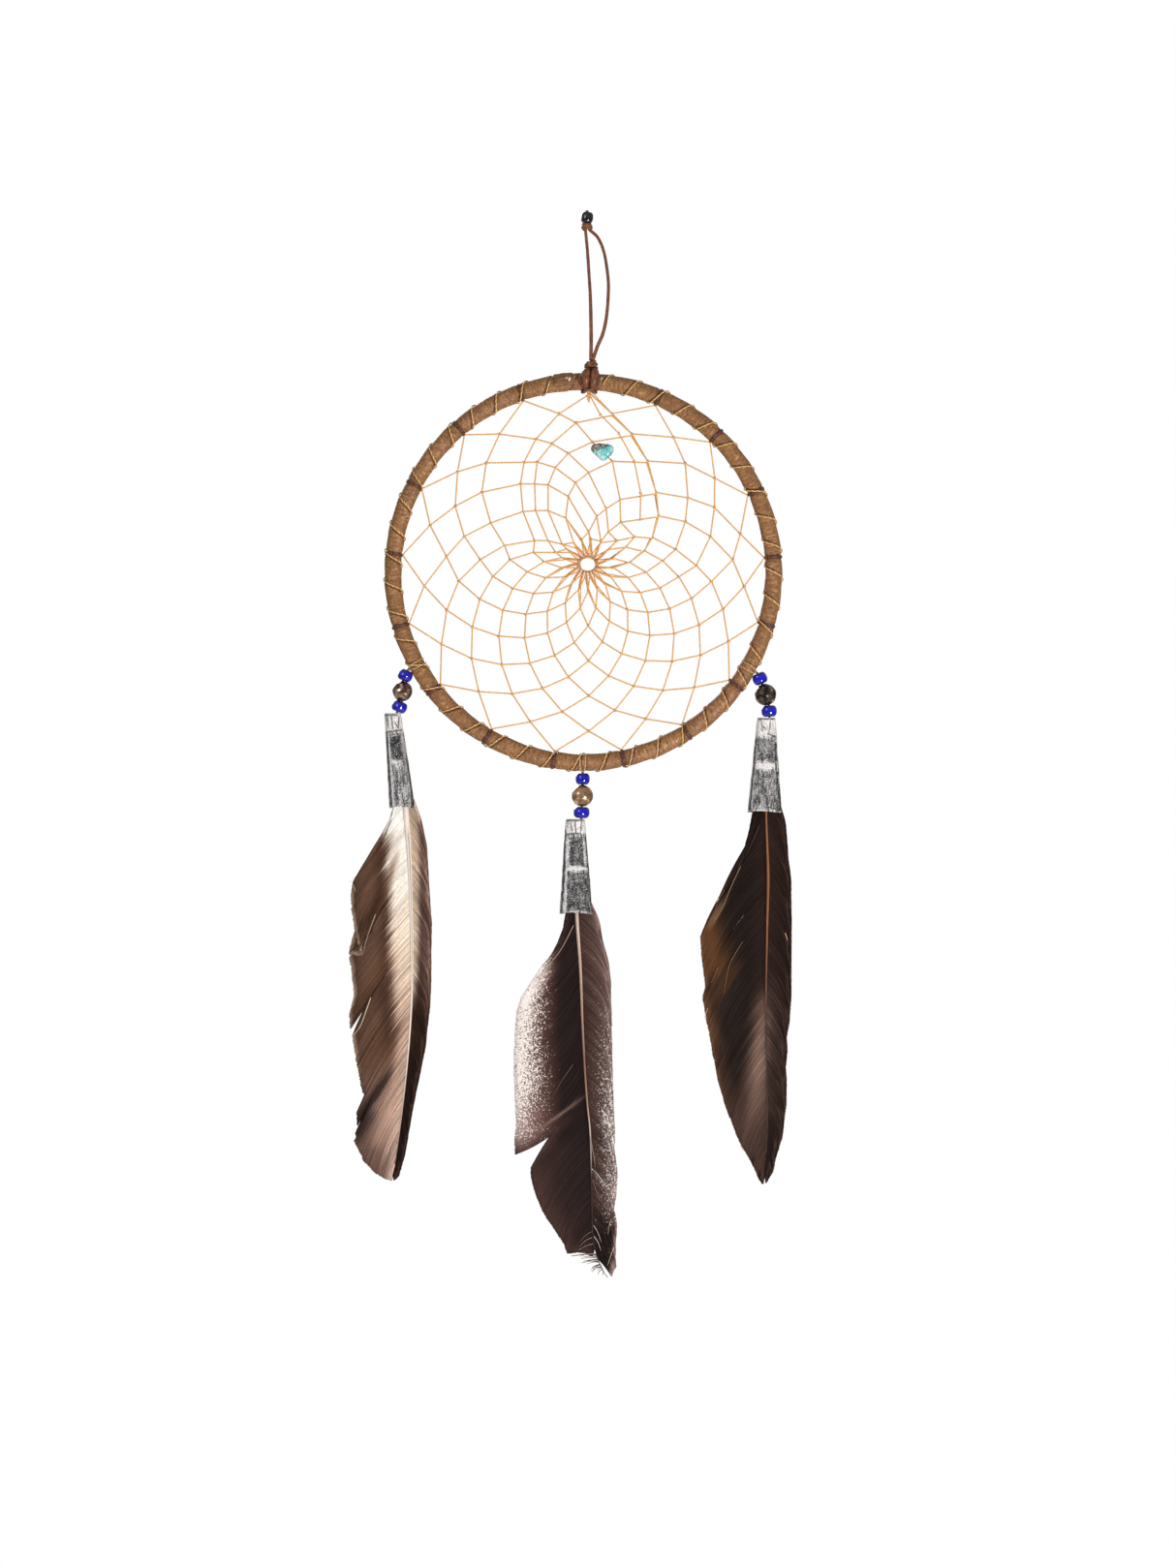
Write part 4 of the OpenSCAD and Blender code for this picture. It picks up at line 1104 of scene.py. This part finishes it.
# Each half is made of clumps of barbs, from the top down. A clump is how far back its tips lie
# and, for barbs along it: root height, tip x, tip z and how much the barb sags outwards.
FEATHERS = dict(
    left=dict(
        shaft=[(-58.6, -176), (-57.8, -188), (-56.9, -200), (-56.2, -222), (-56.1, -240), (-56.5, -252),
            (-57.8, -268), (-59.6, -284), (-61.4, -297), (-62.6, -303.4)],
        left=[
            (-0.15, [(-178, -62.8, -187, 0.03), (-179, -63.8, -192, 0.03), (-181, -67.6, -199, 0.03),
                    (-184, -75.0, -208.6, 0.02), (-188, -75.6, -213, 0.02), (-194, -75.4, -218, 0.04),
                    (-199, -74.2, -224.5, 0.07),
                    (-202, -73.4, -228, 0.1), (-204.5, -72.6, -230.9, 0.12)]),
            (0.5, [(-199, -74.3, -224, 0.0), (-203, -75.4, -227, -0.03), (-206, -76.2, -229.8, -0.08),
                    (-209, -76.4, -232, -0.1)]),
            (0.2, [(-205.3, -71.7, -231.6, 0.06), (-207.5, -74, -232, 0.0), (-209.5, -76.3, -231.2, -0.04),
                    (-213, -75.6, -236, 0.01), (-221, -74.7, -245, 0.02), (-226, -76.2, -250.8, 0.02),
                    (-230, -75.9, -255.5, 0.03)]),
            (0.0, [(-228.3, -75.2, -257.6, 0.05), (-238, -74.3, -263.5, 0.03), (-245, -73.1, -270, 0.03),
                    (-253, -71.4, -276.8, 0.03)]),
            (0.35, [(-248, -71.9, -278.2, 0.03), (-254, -73.8, -282, 0.02), (-259, -73.6, -286, 0.02)]),
            (0.2, [(-256.5, -72.8, -285.6, 0.02), (-261.5, -74.3, -288.8, 0.02),
                    (-264.5, -73.6, -291.2, 0.02)]),
            (0.0, [(-262.2, -74.6, -290.9, 0.0), (-268, -73.0, -294, 0.02), (-273, -71.6, -297.3, 0.03),
                    (-280, -68.5, -300.8, 0.05), (-289, -64.9, -303, 0.06), (-298, -62.8, -303.7, 0.04)]),
        ],
        right=[(0.0, [(-178, -54.7, -187, 0.1), (-181, -52.6, -193, 0.1), (-185, -51.2, -200, 0.1),
                    (-196, -50.7, -211, 0.1), (-207, -49.9, -222, 0.1), (-226, -50.1, -241, 0.1),
                    (-234, -50.5, -249, 0.1), (-246, -51.9, -261.6, 0.1),
                    (-258, -54.2, -272, 0.1), (-271, -56.6, -283.6, 0.1), (-286, -58.6, -296, 0.08),
                    (-297, -60.2, -302, 0.05), (-301, -61.8, -303.7, 0.03)])],
    ),
    middle=dict(
        shaft=[(-4.0, -209), (-3.5, -220), (-2.4, -236), (-1.8, -252), (-1.0, -268), (-0.2, -279),
            (0.7, -288), (1.05, -300), (1.25, -312), (1.5, -320), (2.6, -326.7), (4.6, -331.7),
            (6.3, -334.3)],
        left=[
            (-0.1, [(-209, -7.2, -219, 0.0), (-212, -8.0, -223.7, 0.0), (-215, -10, -228.5, -0.02),
                    (-218, -12, -232, -0.04), (-221, -15.2, -235.8, -0.06), (-224.5, -18.8, -241.2, -0.07),
                    (-227.5, -21.6, -245.4, -0.08),
                    (-231, -22.9, -249.8, -0.09), (-236, -23.5, -255.8, -0.1), (-243, -23.9, -263.8, -0.1),
                    (-255, -23.5, -275.9, -0.12), (-265, -23.0, -286, -0.105), (-269, -23.6, -290, -0.105),
                    (-274.4, -23.4, -295.2, -0.1)]),
            (0.25, [(-275.0, -18.3, -299.6, 0.03), (-280, -18.2, -303.2, 0.04),
                    (-287, -16.4, -309.2, 0.05), (-295, -13.6, -315.2, 0.06), (-302, -10, -320, 0.07),
                    (-308, -7.6, -324, 0.07), (-312, -6.6, -326.8, 0.07),
                    (-317, -3.6, -326.4, 0.05), (-321, -0.8, -326.6, 0.04), (-324.5, 1.4, -327.8, 0.02)]),
        ],
        right=[(0.05, [(-209, 2.0, -219, 0.1), (-211, 4.0, -223.3, 0.1), (-215, 4.9, -228.9, 0.1),
                    (-219, 6.6, -235, 0.1), (-224, 7.2, -240.6, 0.12), (-235, 7.3, -251.8, 0.12),
                    (-245, 7.6, -261.8, 0.12), (-259, 8.0, -275.9, 0.12),
                    (-265, 8.1, -282, 0.12), (-271, 8.5, -288, 0.12), (-279, 8.2, -295.2, 0.12),
                    (-286, 9.3, -302, 0.12), (-294, 8.9, -309, 0.12), (-299, 7.8, -314.4, 0.12)]),
            (0.2, [(-300, 7.9, -316, 0.1), (-303, 9.2, -318.4, 0.1), (-307, 8.9, -322, 0.1),
                    (-314, 8.6, -327.5, 0.1), (-320, 9.0, -331, 0.08), (-328, 7.6, -334, 0.04)])],
    ),
    right=dict(
        shaft=[(57.4, -178), (56.8, -187), (57.4, -206), (57.1, -222), (56.7, -245), (56.9, -264),
            (57.1, -276), (57.2, -284), (56.7, -295), (55.9, -304.4)],
        left=[
            (-0.1, [(-178, 52.3, -186.5, 0.02), (-180, 51.5, -191, 0.02), (-182, 49.9, -197.6, 0.03),
                    (-184.5, 48, -204, 0.03), (-186.5, 44.7, -209.5, 0.03), (-188, 41.9, -212.8, 0.03),
                    (-190, 40.1, -217.3, 0.03), (-192, 37.7, -221.1, 0.03),
                    (-195, 35.8, -226, 0.04), (-200, 36.1, -231.5, 0.05), (-206, 36.8, -237.3, 0.06),
                    (-210.5, 37.4, -242.4, 0.08)]),
            (0.15, [(-211, 36.6, -244.5, 0.07), (-215, 36.7, -247, 0.06), (-220, 37.6, -251.2, 0.05),
                    (-227, 38.7, -257.3, 0.05), (-235, 39.9, -264.3, 0.05), (-245, 41.4, -272, 0.05),
                    (-256, 43.8, -279.7, 0.05),
                    (-265, 46.1, -285.9, 0.05), (-276, 48.8, -292.5, 0.05), (-285, 51.9, -297.5, 0.04),
                    (-298, 54.6, -303.3, 0.02), (-302, 55.5, -304.6, 0.02)]),
        ],
        right=[(0.0, [(-178, 61.8, -186.8, 0.08), (-180, 63.1, -191, 0.08), (-187, 63.8, -201.8, 0.08),
                    (-191, 64.6, -207.2, 0.08), (-205, 64.8, -221.9, 0.08), (-228, 64.7, -245, 0.08),
                    (-238, 64.1, -253.6, 0.08), (-242, 63.2, -257.7, 0.08),
                    (-246, 63.5, -261.6, 0.08), (-253, 62.8, -268.1, 0.08), (-258, 63.3, -272.8, 0.08),
                    (-265, 63.1, -279.7, 0.08), (-276, 61.9, -289.4, 0.08), (-286, 59.6, -297.1, 0.06),
                    (-292, 58.8, -300.9, 0.04), (-300, 56.6, -304.5, 0.02)])],
    ),
)
BARB_GAP = 0.33

# Soft patches of colour on the barbs: x, z, length, width, slope in degrees, colour, strength. Besides
# tones, some are painted shade, painted highlights and painted sheen, as marked.
PATCHES = dict(
    left=[
        # painted shade under the upper clumps at the first and second splits
        (-68.8, -218, 8, 1.7, 60, (58, 34, 20), 0.85), (-70.8, -246.5, 7.5, 2.2, 56, (62, 38, 22), 0.8),
        # painted shade: the dark smears at (-67.5, -275) and (-72.5, -285.5)
        (-67, -236, 7, 2.0, 55, (96, 64, 42), 0.5), (-67.5, -275, 11, 2.0, 56, (38, 22, 18), 0.9),
        (-72.5, -285.5, 6, 3.2, 60, (34, 20, 18), 0.95),
        (-64, -262, 12, 2.4, 60, (80, 52, 34), 0.55), (-70, -262, 9, 3.0, 60, (84, 54, 36), 0.6),
        # painted highlight beside the lower shaft, and a fainter one at (-64.5, -283)
        (-61.2, -268, 14, 1.7, 80, (206, 170, 148), 0.6),
        (-64.5, -283, 10, 2.2, 70, (176, 140, 122), 0.45), (-70.5, -298, 6, 2.5, 60, (92, 70, 60), 0.6),
        (-66, -199, 7, 1.6, 62, (82, 52, 34), 0.6), (-63.6, -207, 9, 1.2, 75, (96, 64, 42), 0.6),
    ],
    # painted highlight along the edge of the split at (-8.5, -281.6)
    middle=[(-8.5, -281.6, 9, 0.5, 36, (150, 124, 114), 0.8),
        (-12, -288.5, 10, 1.6, 42, (60, 40, 36), 0.8), (-4, -262, 16, 3, 85, (34, 23, 22), 0.5),
        (-17.5, -242, 9, 1.3, 52, (226, 214, 208), 0.5)],
    right=[
        # painted sheen left of the shaft at (54.4, -264)
        (54.4, -264, 20, 3.6, 84, (166, 134, 120), 0.75), (39.5, -229, 11, 4.0, 95, (104, 66, 36), 0.9),
        (44, -240, 8, 2.0, 60, (92, 58, 34), 0.55), (38.5, -252, 9, 1.6, 110, (98, 64, 42), 0.6),
        (46.5, -246, 9, 3.0, 80, (34, 24, 22), 0.6), (52, -285, 14, 5, 60, (84, 64, 56), 0.4),
        # painted sheen right of the shaft at (60.2, -262)
        (60.2, -262, 20, 2.2, 92, (78, 60, 54), 0.5), (41, -218, 5, 0.9, 60, (150, 118, 88), 0.7),
    ],
)
# Stray barbs that lie in front: points, radius, colour
STRAYS = dict(
    left=[
        ([(-62.6, -188.5), (-66.2, -196.6), (-71.2, -203.6), (-76.0, -208.4)], 0.09, (40, 24, 18)),
        # a barb painted pale as a highlight along the split's lit edge
        ([(-69.2, -245), (-70.6, -249), (-72.6, -254.2), (-75.4, -257.8)], 0.13, (236, 214, 190)),
        ([(-74.9, -208.8), (-74.0, -211.4)], 0.1, (214, 190, 160)),
        ([(-67.7, -218.5), (-70.2, -225.5), (-71.8, -231.4)], 0.08, (206, 190, 176)),
    ],
    middle=[
        ([(-4.6, -222), (-8.2, -229), (-11.6, -233.6), (-17.2, -240.4)], 0.11, (196, 166, 150)),
        ([(-4.8, -266.4), (-8, -271), (-11, -276)], 0.06, (150, 120, 106)),
        ([(1.3, -319.5), (-0.6, -320.6), (-2.4, -322.6)], 0.07, (150, 124, 116)),
        ([(1.3, -321.4), (-0.8, -322.4), (-2.6, -324.2)], 0.08, (176, 150, 142)),
        ([(1.6, -323.4), (-0.9, -324.2), (-3.2, -325.6)], 0.08, (176, 150, 142)),
        ([(1.8, -317.6), (3.2, -320.0), (4.2, -323.0)], 0.11, (196, 178, 170)),
        ([(1.9, -321), (3.2, -323), (4.1, -325.6)], 0.12, (206, 190, 184)),
        ([(8.2, -324.5), (7.2, -327.4), (6.2, -330.4)], 0.1, (206, 186, 170)),
        ([(1.4, -303), (2.6, -306.4), (4.0, -309.8)], 0.08, (150, 124, 116)),
        ([(7.4, -315.6), (6.6, -318.2), (6.4, -320.4)], 0.13, (176, 152, 144)),
        ([(0.7, -289), (1.4, -293), (2.4, -299)], 0.09, (186, 160, 150)),
    ],
    right=[
        ([(54.6, -190.2), (52.8, -194.4), (50.4, -199.6)], 0.06, (120, 90, 66)),
        ([(48.6, -203.2), (45.6, -209.6), (42.4, -217.2), (39.9, -221.2)], 0.075, (190, 156, 122)),
        ([(43.4, -210.8), (41.2, -214.8), (40.2, -218.8)], 0.08, (140, 108, 80)),
        ([(49.2, -227.2), (46.8, -231.2), (44.9, -235), (43.2, -243.6)], 0.065, (170, 132, 96)),
        ([(41.4, -235.4), (39.2, -240.4)], 0.08, (150, 112, 76)),
        ([(62.8, -224.4), (63.6, -226.8)], 0.12, (226, 196, 150)),
        ([(37.0, -251.6), (38.2, -248.2)], 0.1, (206, 184, 150)),
        ([(48.6, -292.2), (49.6, -293.8)], 0.14, (206, 160, 120)),
        ([(41.6, -213.4), (40.9, -214.6)], 0.14, (206, 180, 150)),
    ],
)


def linear(colour):
    c = np.clip(np.asarray(colour, float), 0, 255) / 255
    return np.where(c > 0.04, ((c + 0.055) / 1.055) ** 2.4, c / 12.92)


def step(x):
    x = np.clip(x, 0, 1)
    return x * x * (3 - 2 * x)


def shade(side, half, u, x, z, away, jitter):
    """Colour (0-255), with painted sheen, highlights and shade in it, and painted sheen specks of a barb at
    u, from 0 by the shaft to 1 at the edge.

    away is the distance from the shaft.
    """

    def blend(v, *stops):
        at = [s[0] for s in stops]
        return np.stack([np.interp(v, at, [s[1][c] for s in stops]) for c in range(3)], -1)

    def over(a, b, w):
        return a + (np.asarray(b, float) - a) * np.clip(w, 0, 1)[..., None]

    frost = 0 * u
    if side == "left":
        if half == "left":
            c = blend(u, (0, (104, 76, 62)), (0.45, (72, 48, 37)), (0.6, (96, 69, 54)),
                (0.8, (92, 66, 51)), (1, (68, 45, 35)))
            low = blend(u, (0, (200, 168, 152)), (0.3, (180, 148, 134)), (0.6, (146, 117, 104)),
                (1, (104, 78, 68)))
            c = over(c, low, step((-z - 255) / 20))
            # painted sheen: a cream band beside the shaft, narrowing downwards
            band = np.interp(-z, [187, 200, 225, 238, 250, 262, 288],
                [8.0, 7.4, 7.2, 6.3, 5.0, 3.6, 2.8]) + 1.1 * jitter
            painted_sheen = blend(-z, (187, (255, 250, 244)), (208, (255, 244, 232)), (228, (238, 214, 194)),
                (248, (208, 178, 158)), (288, (194, 164, 150)))
            c = over(c, painted_sheen, step((band - away) / 3.4 + 0.5))
            c = over(c, (222, 198, 176), 0.6 * step((u - 0.965) / 0.03) * step((-z - 209) / 4)
                * step((272 + z) / 8))
        else:
            c = blend(-z, (187, (124, 88, 70)), (205, (116, 86, 76)), (235, (104, 76, 66)),
                (250, (66, 43, 33)), (270, (50, 31, 24)), (304, (40, 25, 20)))
            # painted sheen: cream beside the shaft in the upper part
            c = over(c, (230, 204, 178), step((np.interp(-z, [187, 205, 235, 255], [4.2, 3.2, 2.0, 0.8])
                        + 0.3 * jitter - away) / 2.2 + 0.5) * step((252 + z) / 14))
            c = over(c, (176, 146, 132), 0.5 * step(jitter * 2) * step((250 + z) / 12)
                * step((u - 0.3) / 0.3))
    elif side == "middle":
        if half == "left":
            c = blend(u + 0.02 * jitter, (0, (24, 13, 13)), (0.42, (30, 17, 16)), (0.6, (72, 46, 41)),
                (0.8, (116, 86, 80)), (0.93, (156, 130, 124)), (1, (184, 162, 156)))
            zone = step((-z - 224) / 14) * step((297 + z) / 10)
            low = blend(u, (0, (32, 20, 20)), (0.6, (42, 26, 24)), (1, (68, 46, 42)))
            c = over(low, c, zone)
            # pale specks of painted sheen over the outer barbs
            frost = zone * np.interp(u + 0.03 * jitter, [0.42, 0.6, 0.8, 0.93],
                [0, 0.26, 0.52, 0.68]) * (1 - 0.35 * step((-z - 268) / 20))
        else:
            c = blend(u + 0.09 * jitter, (0, (70, 49, 44)), (0.4, (104, 79, 73)), (0.8, (136, 110, 104)),
                (1, (152, 128, 122)))
            c = over(c, (38, 25, 23), step((-z - 308) / 14) * step((0.9 - u) / 0.2))
            # pale specks of painted sheen, strongest low down
            frost = np.interp(u + 0.08 * jitter, [0.1, 0.4, 0.9], [0.14, 0.4, 0.45]) * np.interp(-z,
                [222, 245, 262, 285, 312, 322], [0.15, 0.5, 0.8, 1.1, 0.9, 0.35])
    elif half == "left":
        c = blend(u, (0, (38, 22, 17)), (0.3, (24, 13, 10)), (0.7, (30, 17, 12)), (0.93, (60, 38, 26)),
            (1, (98, 68, 50)))
        c = over(c, (64, 44, 38), step((-z - 268) / 20))
    else:
        c = blend(u, (0, (56, 39, 34)), (0.6, (48, 32, 27)), (0.9, (44, 28, 23)), (1, (88, 60, 46)))
    for px, pz, length, width, slope, colour, strength in PATCHES[side]:
        ca, sa = math.cos(math.radians(slope)), math.sin(math.radians(slope))
        du, dv = (x - px) * ca + (z - pz) * sa, (z - pz) * ca - (x - px) * sa + 0.5 * width * jitter * 0.6
        c = over(c, colour, strength * np.exp(-((du / length) ** 4) - (dv / width) ** 2))
    return c, frost


def barbs(side, half, shaft):
    """Closed thin blades that overlap like roof tiles"""
    sign = -1 if half == "left" else 1
    sz = shaft[::-1, 2]
    steps = 17
    shape = Shape()
    local = np.random.default_rng(20 + 2 * SIDES.index(side) + (half == "right"))
    t = np.linspace(0, 1, steps)
    serial = 0
    for lift, items in FEATHERS[side][half]:
        dense = even(np.array(items, float) * [1, 1, 1, 30], 0.05) * [1, 1, 1, 1 / 30]
        tip_s = lengths(dense[:, 1:3])
        root_s = np.abs(dense[:, 0] - dense[0, 0])
        count = max(3, int(max(root_s[-1] * 1.05, (tip_s[-1] + root_s[-1]) / 2, 0.5) / BARB_GAP))
        way_on = (tip_s / max(tip_s[-1], 1e-6) + root_s / max(root_s[-1], 1e-6)) / 2
        clump_left = clump_shift = clump_tone = 0
        for i in range(count):
            serial += 1
            rz, tx, tz, sag = (float(np.interp((i + 0.5) / count, way_on, dense[:, k])) for k in range(4))
            if clump_left <= 0:
                clump_left, clump_shift, clump_tone = int(local.integers(5,
                        20)), local.normal(), local.normal()
            clump_left -= 1
            root = np.array([float(np.interp(rz, sz, shaft[::-1, 0])) + sign * 0.1, 0.0, rz])
            tip = np.array([tx, 0.0, tz])
            reach = np.linalg.norm(tip - root)
            way = (tip - root) / reach
            tip = tip + way * (0.1 * clump_shift - (0.3 if side == "left" else 0.15) * abs(local.normal())
                - 0.1)
            ctrl = (root + tip) / 2 + np.array([-way[2] * sign, 0, way[0] * sign]) * reach * sag * 2
            line = (1 - t)[:, None] ** 2 * root + 2 * ((1 - t) * t)[:, None] * ctrl + (t**2)[:, None] * tip
            # the vane is slightly cupped, and its barbs lie at slightly different levels
            line[:, 1] = -0.42 * np.sin(t * math.pi * 0.8) + 0.26 * t + lift * t + 0.09 * math.sin(rz
                * 0.55) * t + 0.05 * clump_shift * t
            tangent = unit(np.gradient(line, axis=0))
            across = unit(np.cross(tangent, [0, -1.0, 0]))
            if across[0, 2] < 0:
                across = -across
            across = unit(across + (0.16 + 0.05 * local.normal()) * np.array([0, 1.0, 0]))
            normal_ = unit(np.cross(across, tangent))
            width = 0.42 * (1 - 0.45 * t**3) * (1 + 0.1 * local.normal())
            thick = 0.055 * (1 - 0.6 * t)
            p = np.stack([line + across * width[:, None], line + normal_ * thick[:, None],
                    line - across * width[:, None], line - normal_ * thick[:, None]], 1)
            jitter = 0.45 * local.normal() + 0.3 * clump_tone
            away = np.abs(line[:, 0] - np.interp(line[:, 2], sz, shaft[::-1, 0]))
            colour, frost = shade(side, half, t, line[:, 0], line[:, 2], away, jitter)
            streak = (0.05 if side != "left" else float(np.interp(-tz, [225, 265],
                        [0.06, 0.12]))) * local.normal() + 0.02 * clump_tone
            shape.grid(
                p,
                tint=np.repeat(linear(colour * (1 + streak))[:, None], 4, 1),
                out=np.repeat((t * reach)[:, None], 4, 1),
                barb=np.full((steps, 4), serial * BARB_GAP),
                frost=np.repeat(frost[:, None], 4, 1),
            )
    return shape


def frayed():
    """Loose barbs that fan out under the middle feather's shaft"""
    local = np.random.default_rng(8)
    for q in np.linspace(0, 1, 17):
        root = np.array([2.5 + 2.6 * q, -326.6 - 5.6 * q])
        tip = np.array([-4.2 + 7.6 * q, -327.0 - 6.6 * q]) + local.normal(size=2) * [0.7, 0.25]
        mid = (root + tip) / 2 + [0, 0.5 + 0.25 * local.normal()]
        tone = local.uniform(0.3, 0.9)
        yield [tuple(root), tuple(mid), tuple(tip)], 0.12 + 0.05 * tone, (190 * tone, 160 * tone,
            150 * tone)


def strays(side):
    shape = Shape()
    for number, (points, radius, colour) in enumerate(STRAYS[side]
            + (list(frayed()) if side == "middle" else [])):
        level = -0.7 if number < len(STRAYS[side]) else -0.1
        path = even(spline([(x, level, z) for x, z in points], 8), 0.25)
        share = np.linspace(0, 1, len(path))
        shape.tube(path, radius * (1 - 0.65 * share**2), 6,
            tint=np.broadcast_to(linear(colour), (len(path), 6, 3)),
            out=np.repeat(10 * share[:, None], 6, 1),
            barb=np.full((len(path), 6), 200.0 + number), frost=np.zeros((len(path), 6)))
    return shape


VANE_LIGHT, VANE_DARK = vane_look("feather_light"), vane_look("feather_dark")
QUILLS = dict(
    left=quill_look("quill_left", (0.0, rgb(250, 234, 222)), (0.2, rgb(252, 240, 230)),
        (0.5, rgb(255, 246, 238)), (0.68, rgb(246, 230, 218)), (0.85, rgb(190, 160, 142)),
        (1.0, rgb(96, 70, 58))),
    middle=quill_look("quill_middle", (0.0, rgb(236, 214, 200)), (0.2, rgb(214, 184, 166)),
        (0.3, rgb(190, 156, 136)), (0.45, rgb(150, 108, 86)), (0.56, rgb(176, 140, 120)),
        (0.62, rgb(206, 190, 184)), (0.7, rgb(150, 130, 122)), (0.74, rgb(48, 34, 32)),
        (1.0, rgb(36, 25, 24))),
    right=quill_look("quill_right", (0.0, rgb(180, 124, 80)), (0.1, rgb(158, 98, 54)),
        (0.4, rgb(142, 84, 44)), (0.52, rgb(112, 66, 40)), (0.6, rgb(52, 36, 32)), (1.0, rgb(38, 27, 25))),
)
for side in SIDES:
    shaft = even(spline([(x, 0, z) for x, z in FEATHERS[side]["shaft"]], 8), 0.5)
    share = np.linspace(0, 1, len(shaft))
    w = turns(28)
    thick = dict(left=[1.2, 1.05, 0.7, 0.42, 0.32, 0.24, 0.14],
        middle=[0.72, 0.62, 0.48, 0.36, 0.28, 0.2, 0.12],
        right=[0.5, 0.32, 0.5, 0.32, 0.22, 0.18, 0.12])[side]
    r = np.interp(share, [0, 0.07, 0.22, 0.45, 0.6, 0.8, 1], thick)[:,
        None] * (1 + 0.10 * np.cos(2 * w)[None])
    line = np.exp(-((around(np.degrees(w), dict(left=-10, middle=18, right=-16)[side])
                / (13 if side == "left" else 17)) ** 2))
    deep = dict(left=np.interp(share, [0, 0.1, 0.14, 0.42, 0.55, 0.6], [0, 0, 1, 1, 0.5, 0]),
        middle=np.interp(share, [0, 0.05, 0.2, 0.55, 0.6], [0, 0.3, 0.5, 0.5, 0]),
        right=np.interp(share, [0, 0.4, 0.5, 1], [0.2, 0.4, 0.9, 0.6]))[side]
    # groove: where the shaft is dented, also painted dark as shade
    groove = line[None] * deep[:, None]
    r = r * (1 - 0.2 * groove)
    quill = Shape()
    quill.tube(shaft, r, 28, guide=(0, -1, 0), along=np.broadcast_to(share[:, None], r.shape),
        groove=groove)
    quill.make(side + "_quill", side + "_feather", "quill", QUILLS[side], side + "_feather_shaft")
    slot_, look = ("feather_light", VANE_LIGHT) if side == "left" else ("feather_dark", VANE_DARK)
    for half in ("left", "right"):
        barbs(side, half, shaft).make("{}_barbs_{}".format(side, half), side + "_feather", slot_, look,
            side + "_feather_vane")
    strays(side).make(side + "_stray_barbs", side + "_feather", slot_, look)

# ---------- CAD nodes that stay ----------

for node, material in [("hoop_core", STEEL)] + [(side + "_glue_plug", GLUE) for side in SIDES]:
    o = bpy.data.objects.get(node)
    for slot_ in o.material_slots:
        slot_.material = material
    if not o.material_slots:
        o.data.materials.append(material)

# ---------- floor ----------

floor_mesh = bpy.data.meshes.new("floor")
corners = [(x * FLOOR_HALF, y * FLOOR_HALF, FLOOR_Z / 1000) for x,
    y in ((-1, -1), (1, -1), (1, 1), (-1, 1))]
floor_mesh.from_pydata(corners, [], [(0, 1, 2, 3)])
floor = bpy.data.objects.new("floor", floor_mesh)
scene.collection.objects.link(floor)
k = Look("floor", Roughness=0.8)
k.use(Base_Color=k.ramp(k.noise(k.here(), 0.02, 3), (0.3, rgb(232, 232, 230)), (0.7, rgb(240, 240, 238))))
floor.data.materials.append(k.m)
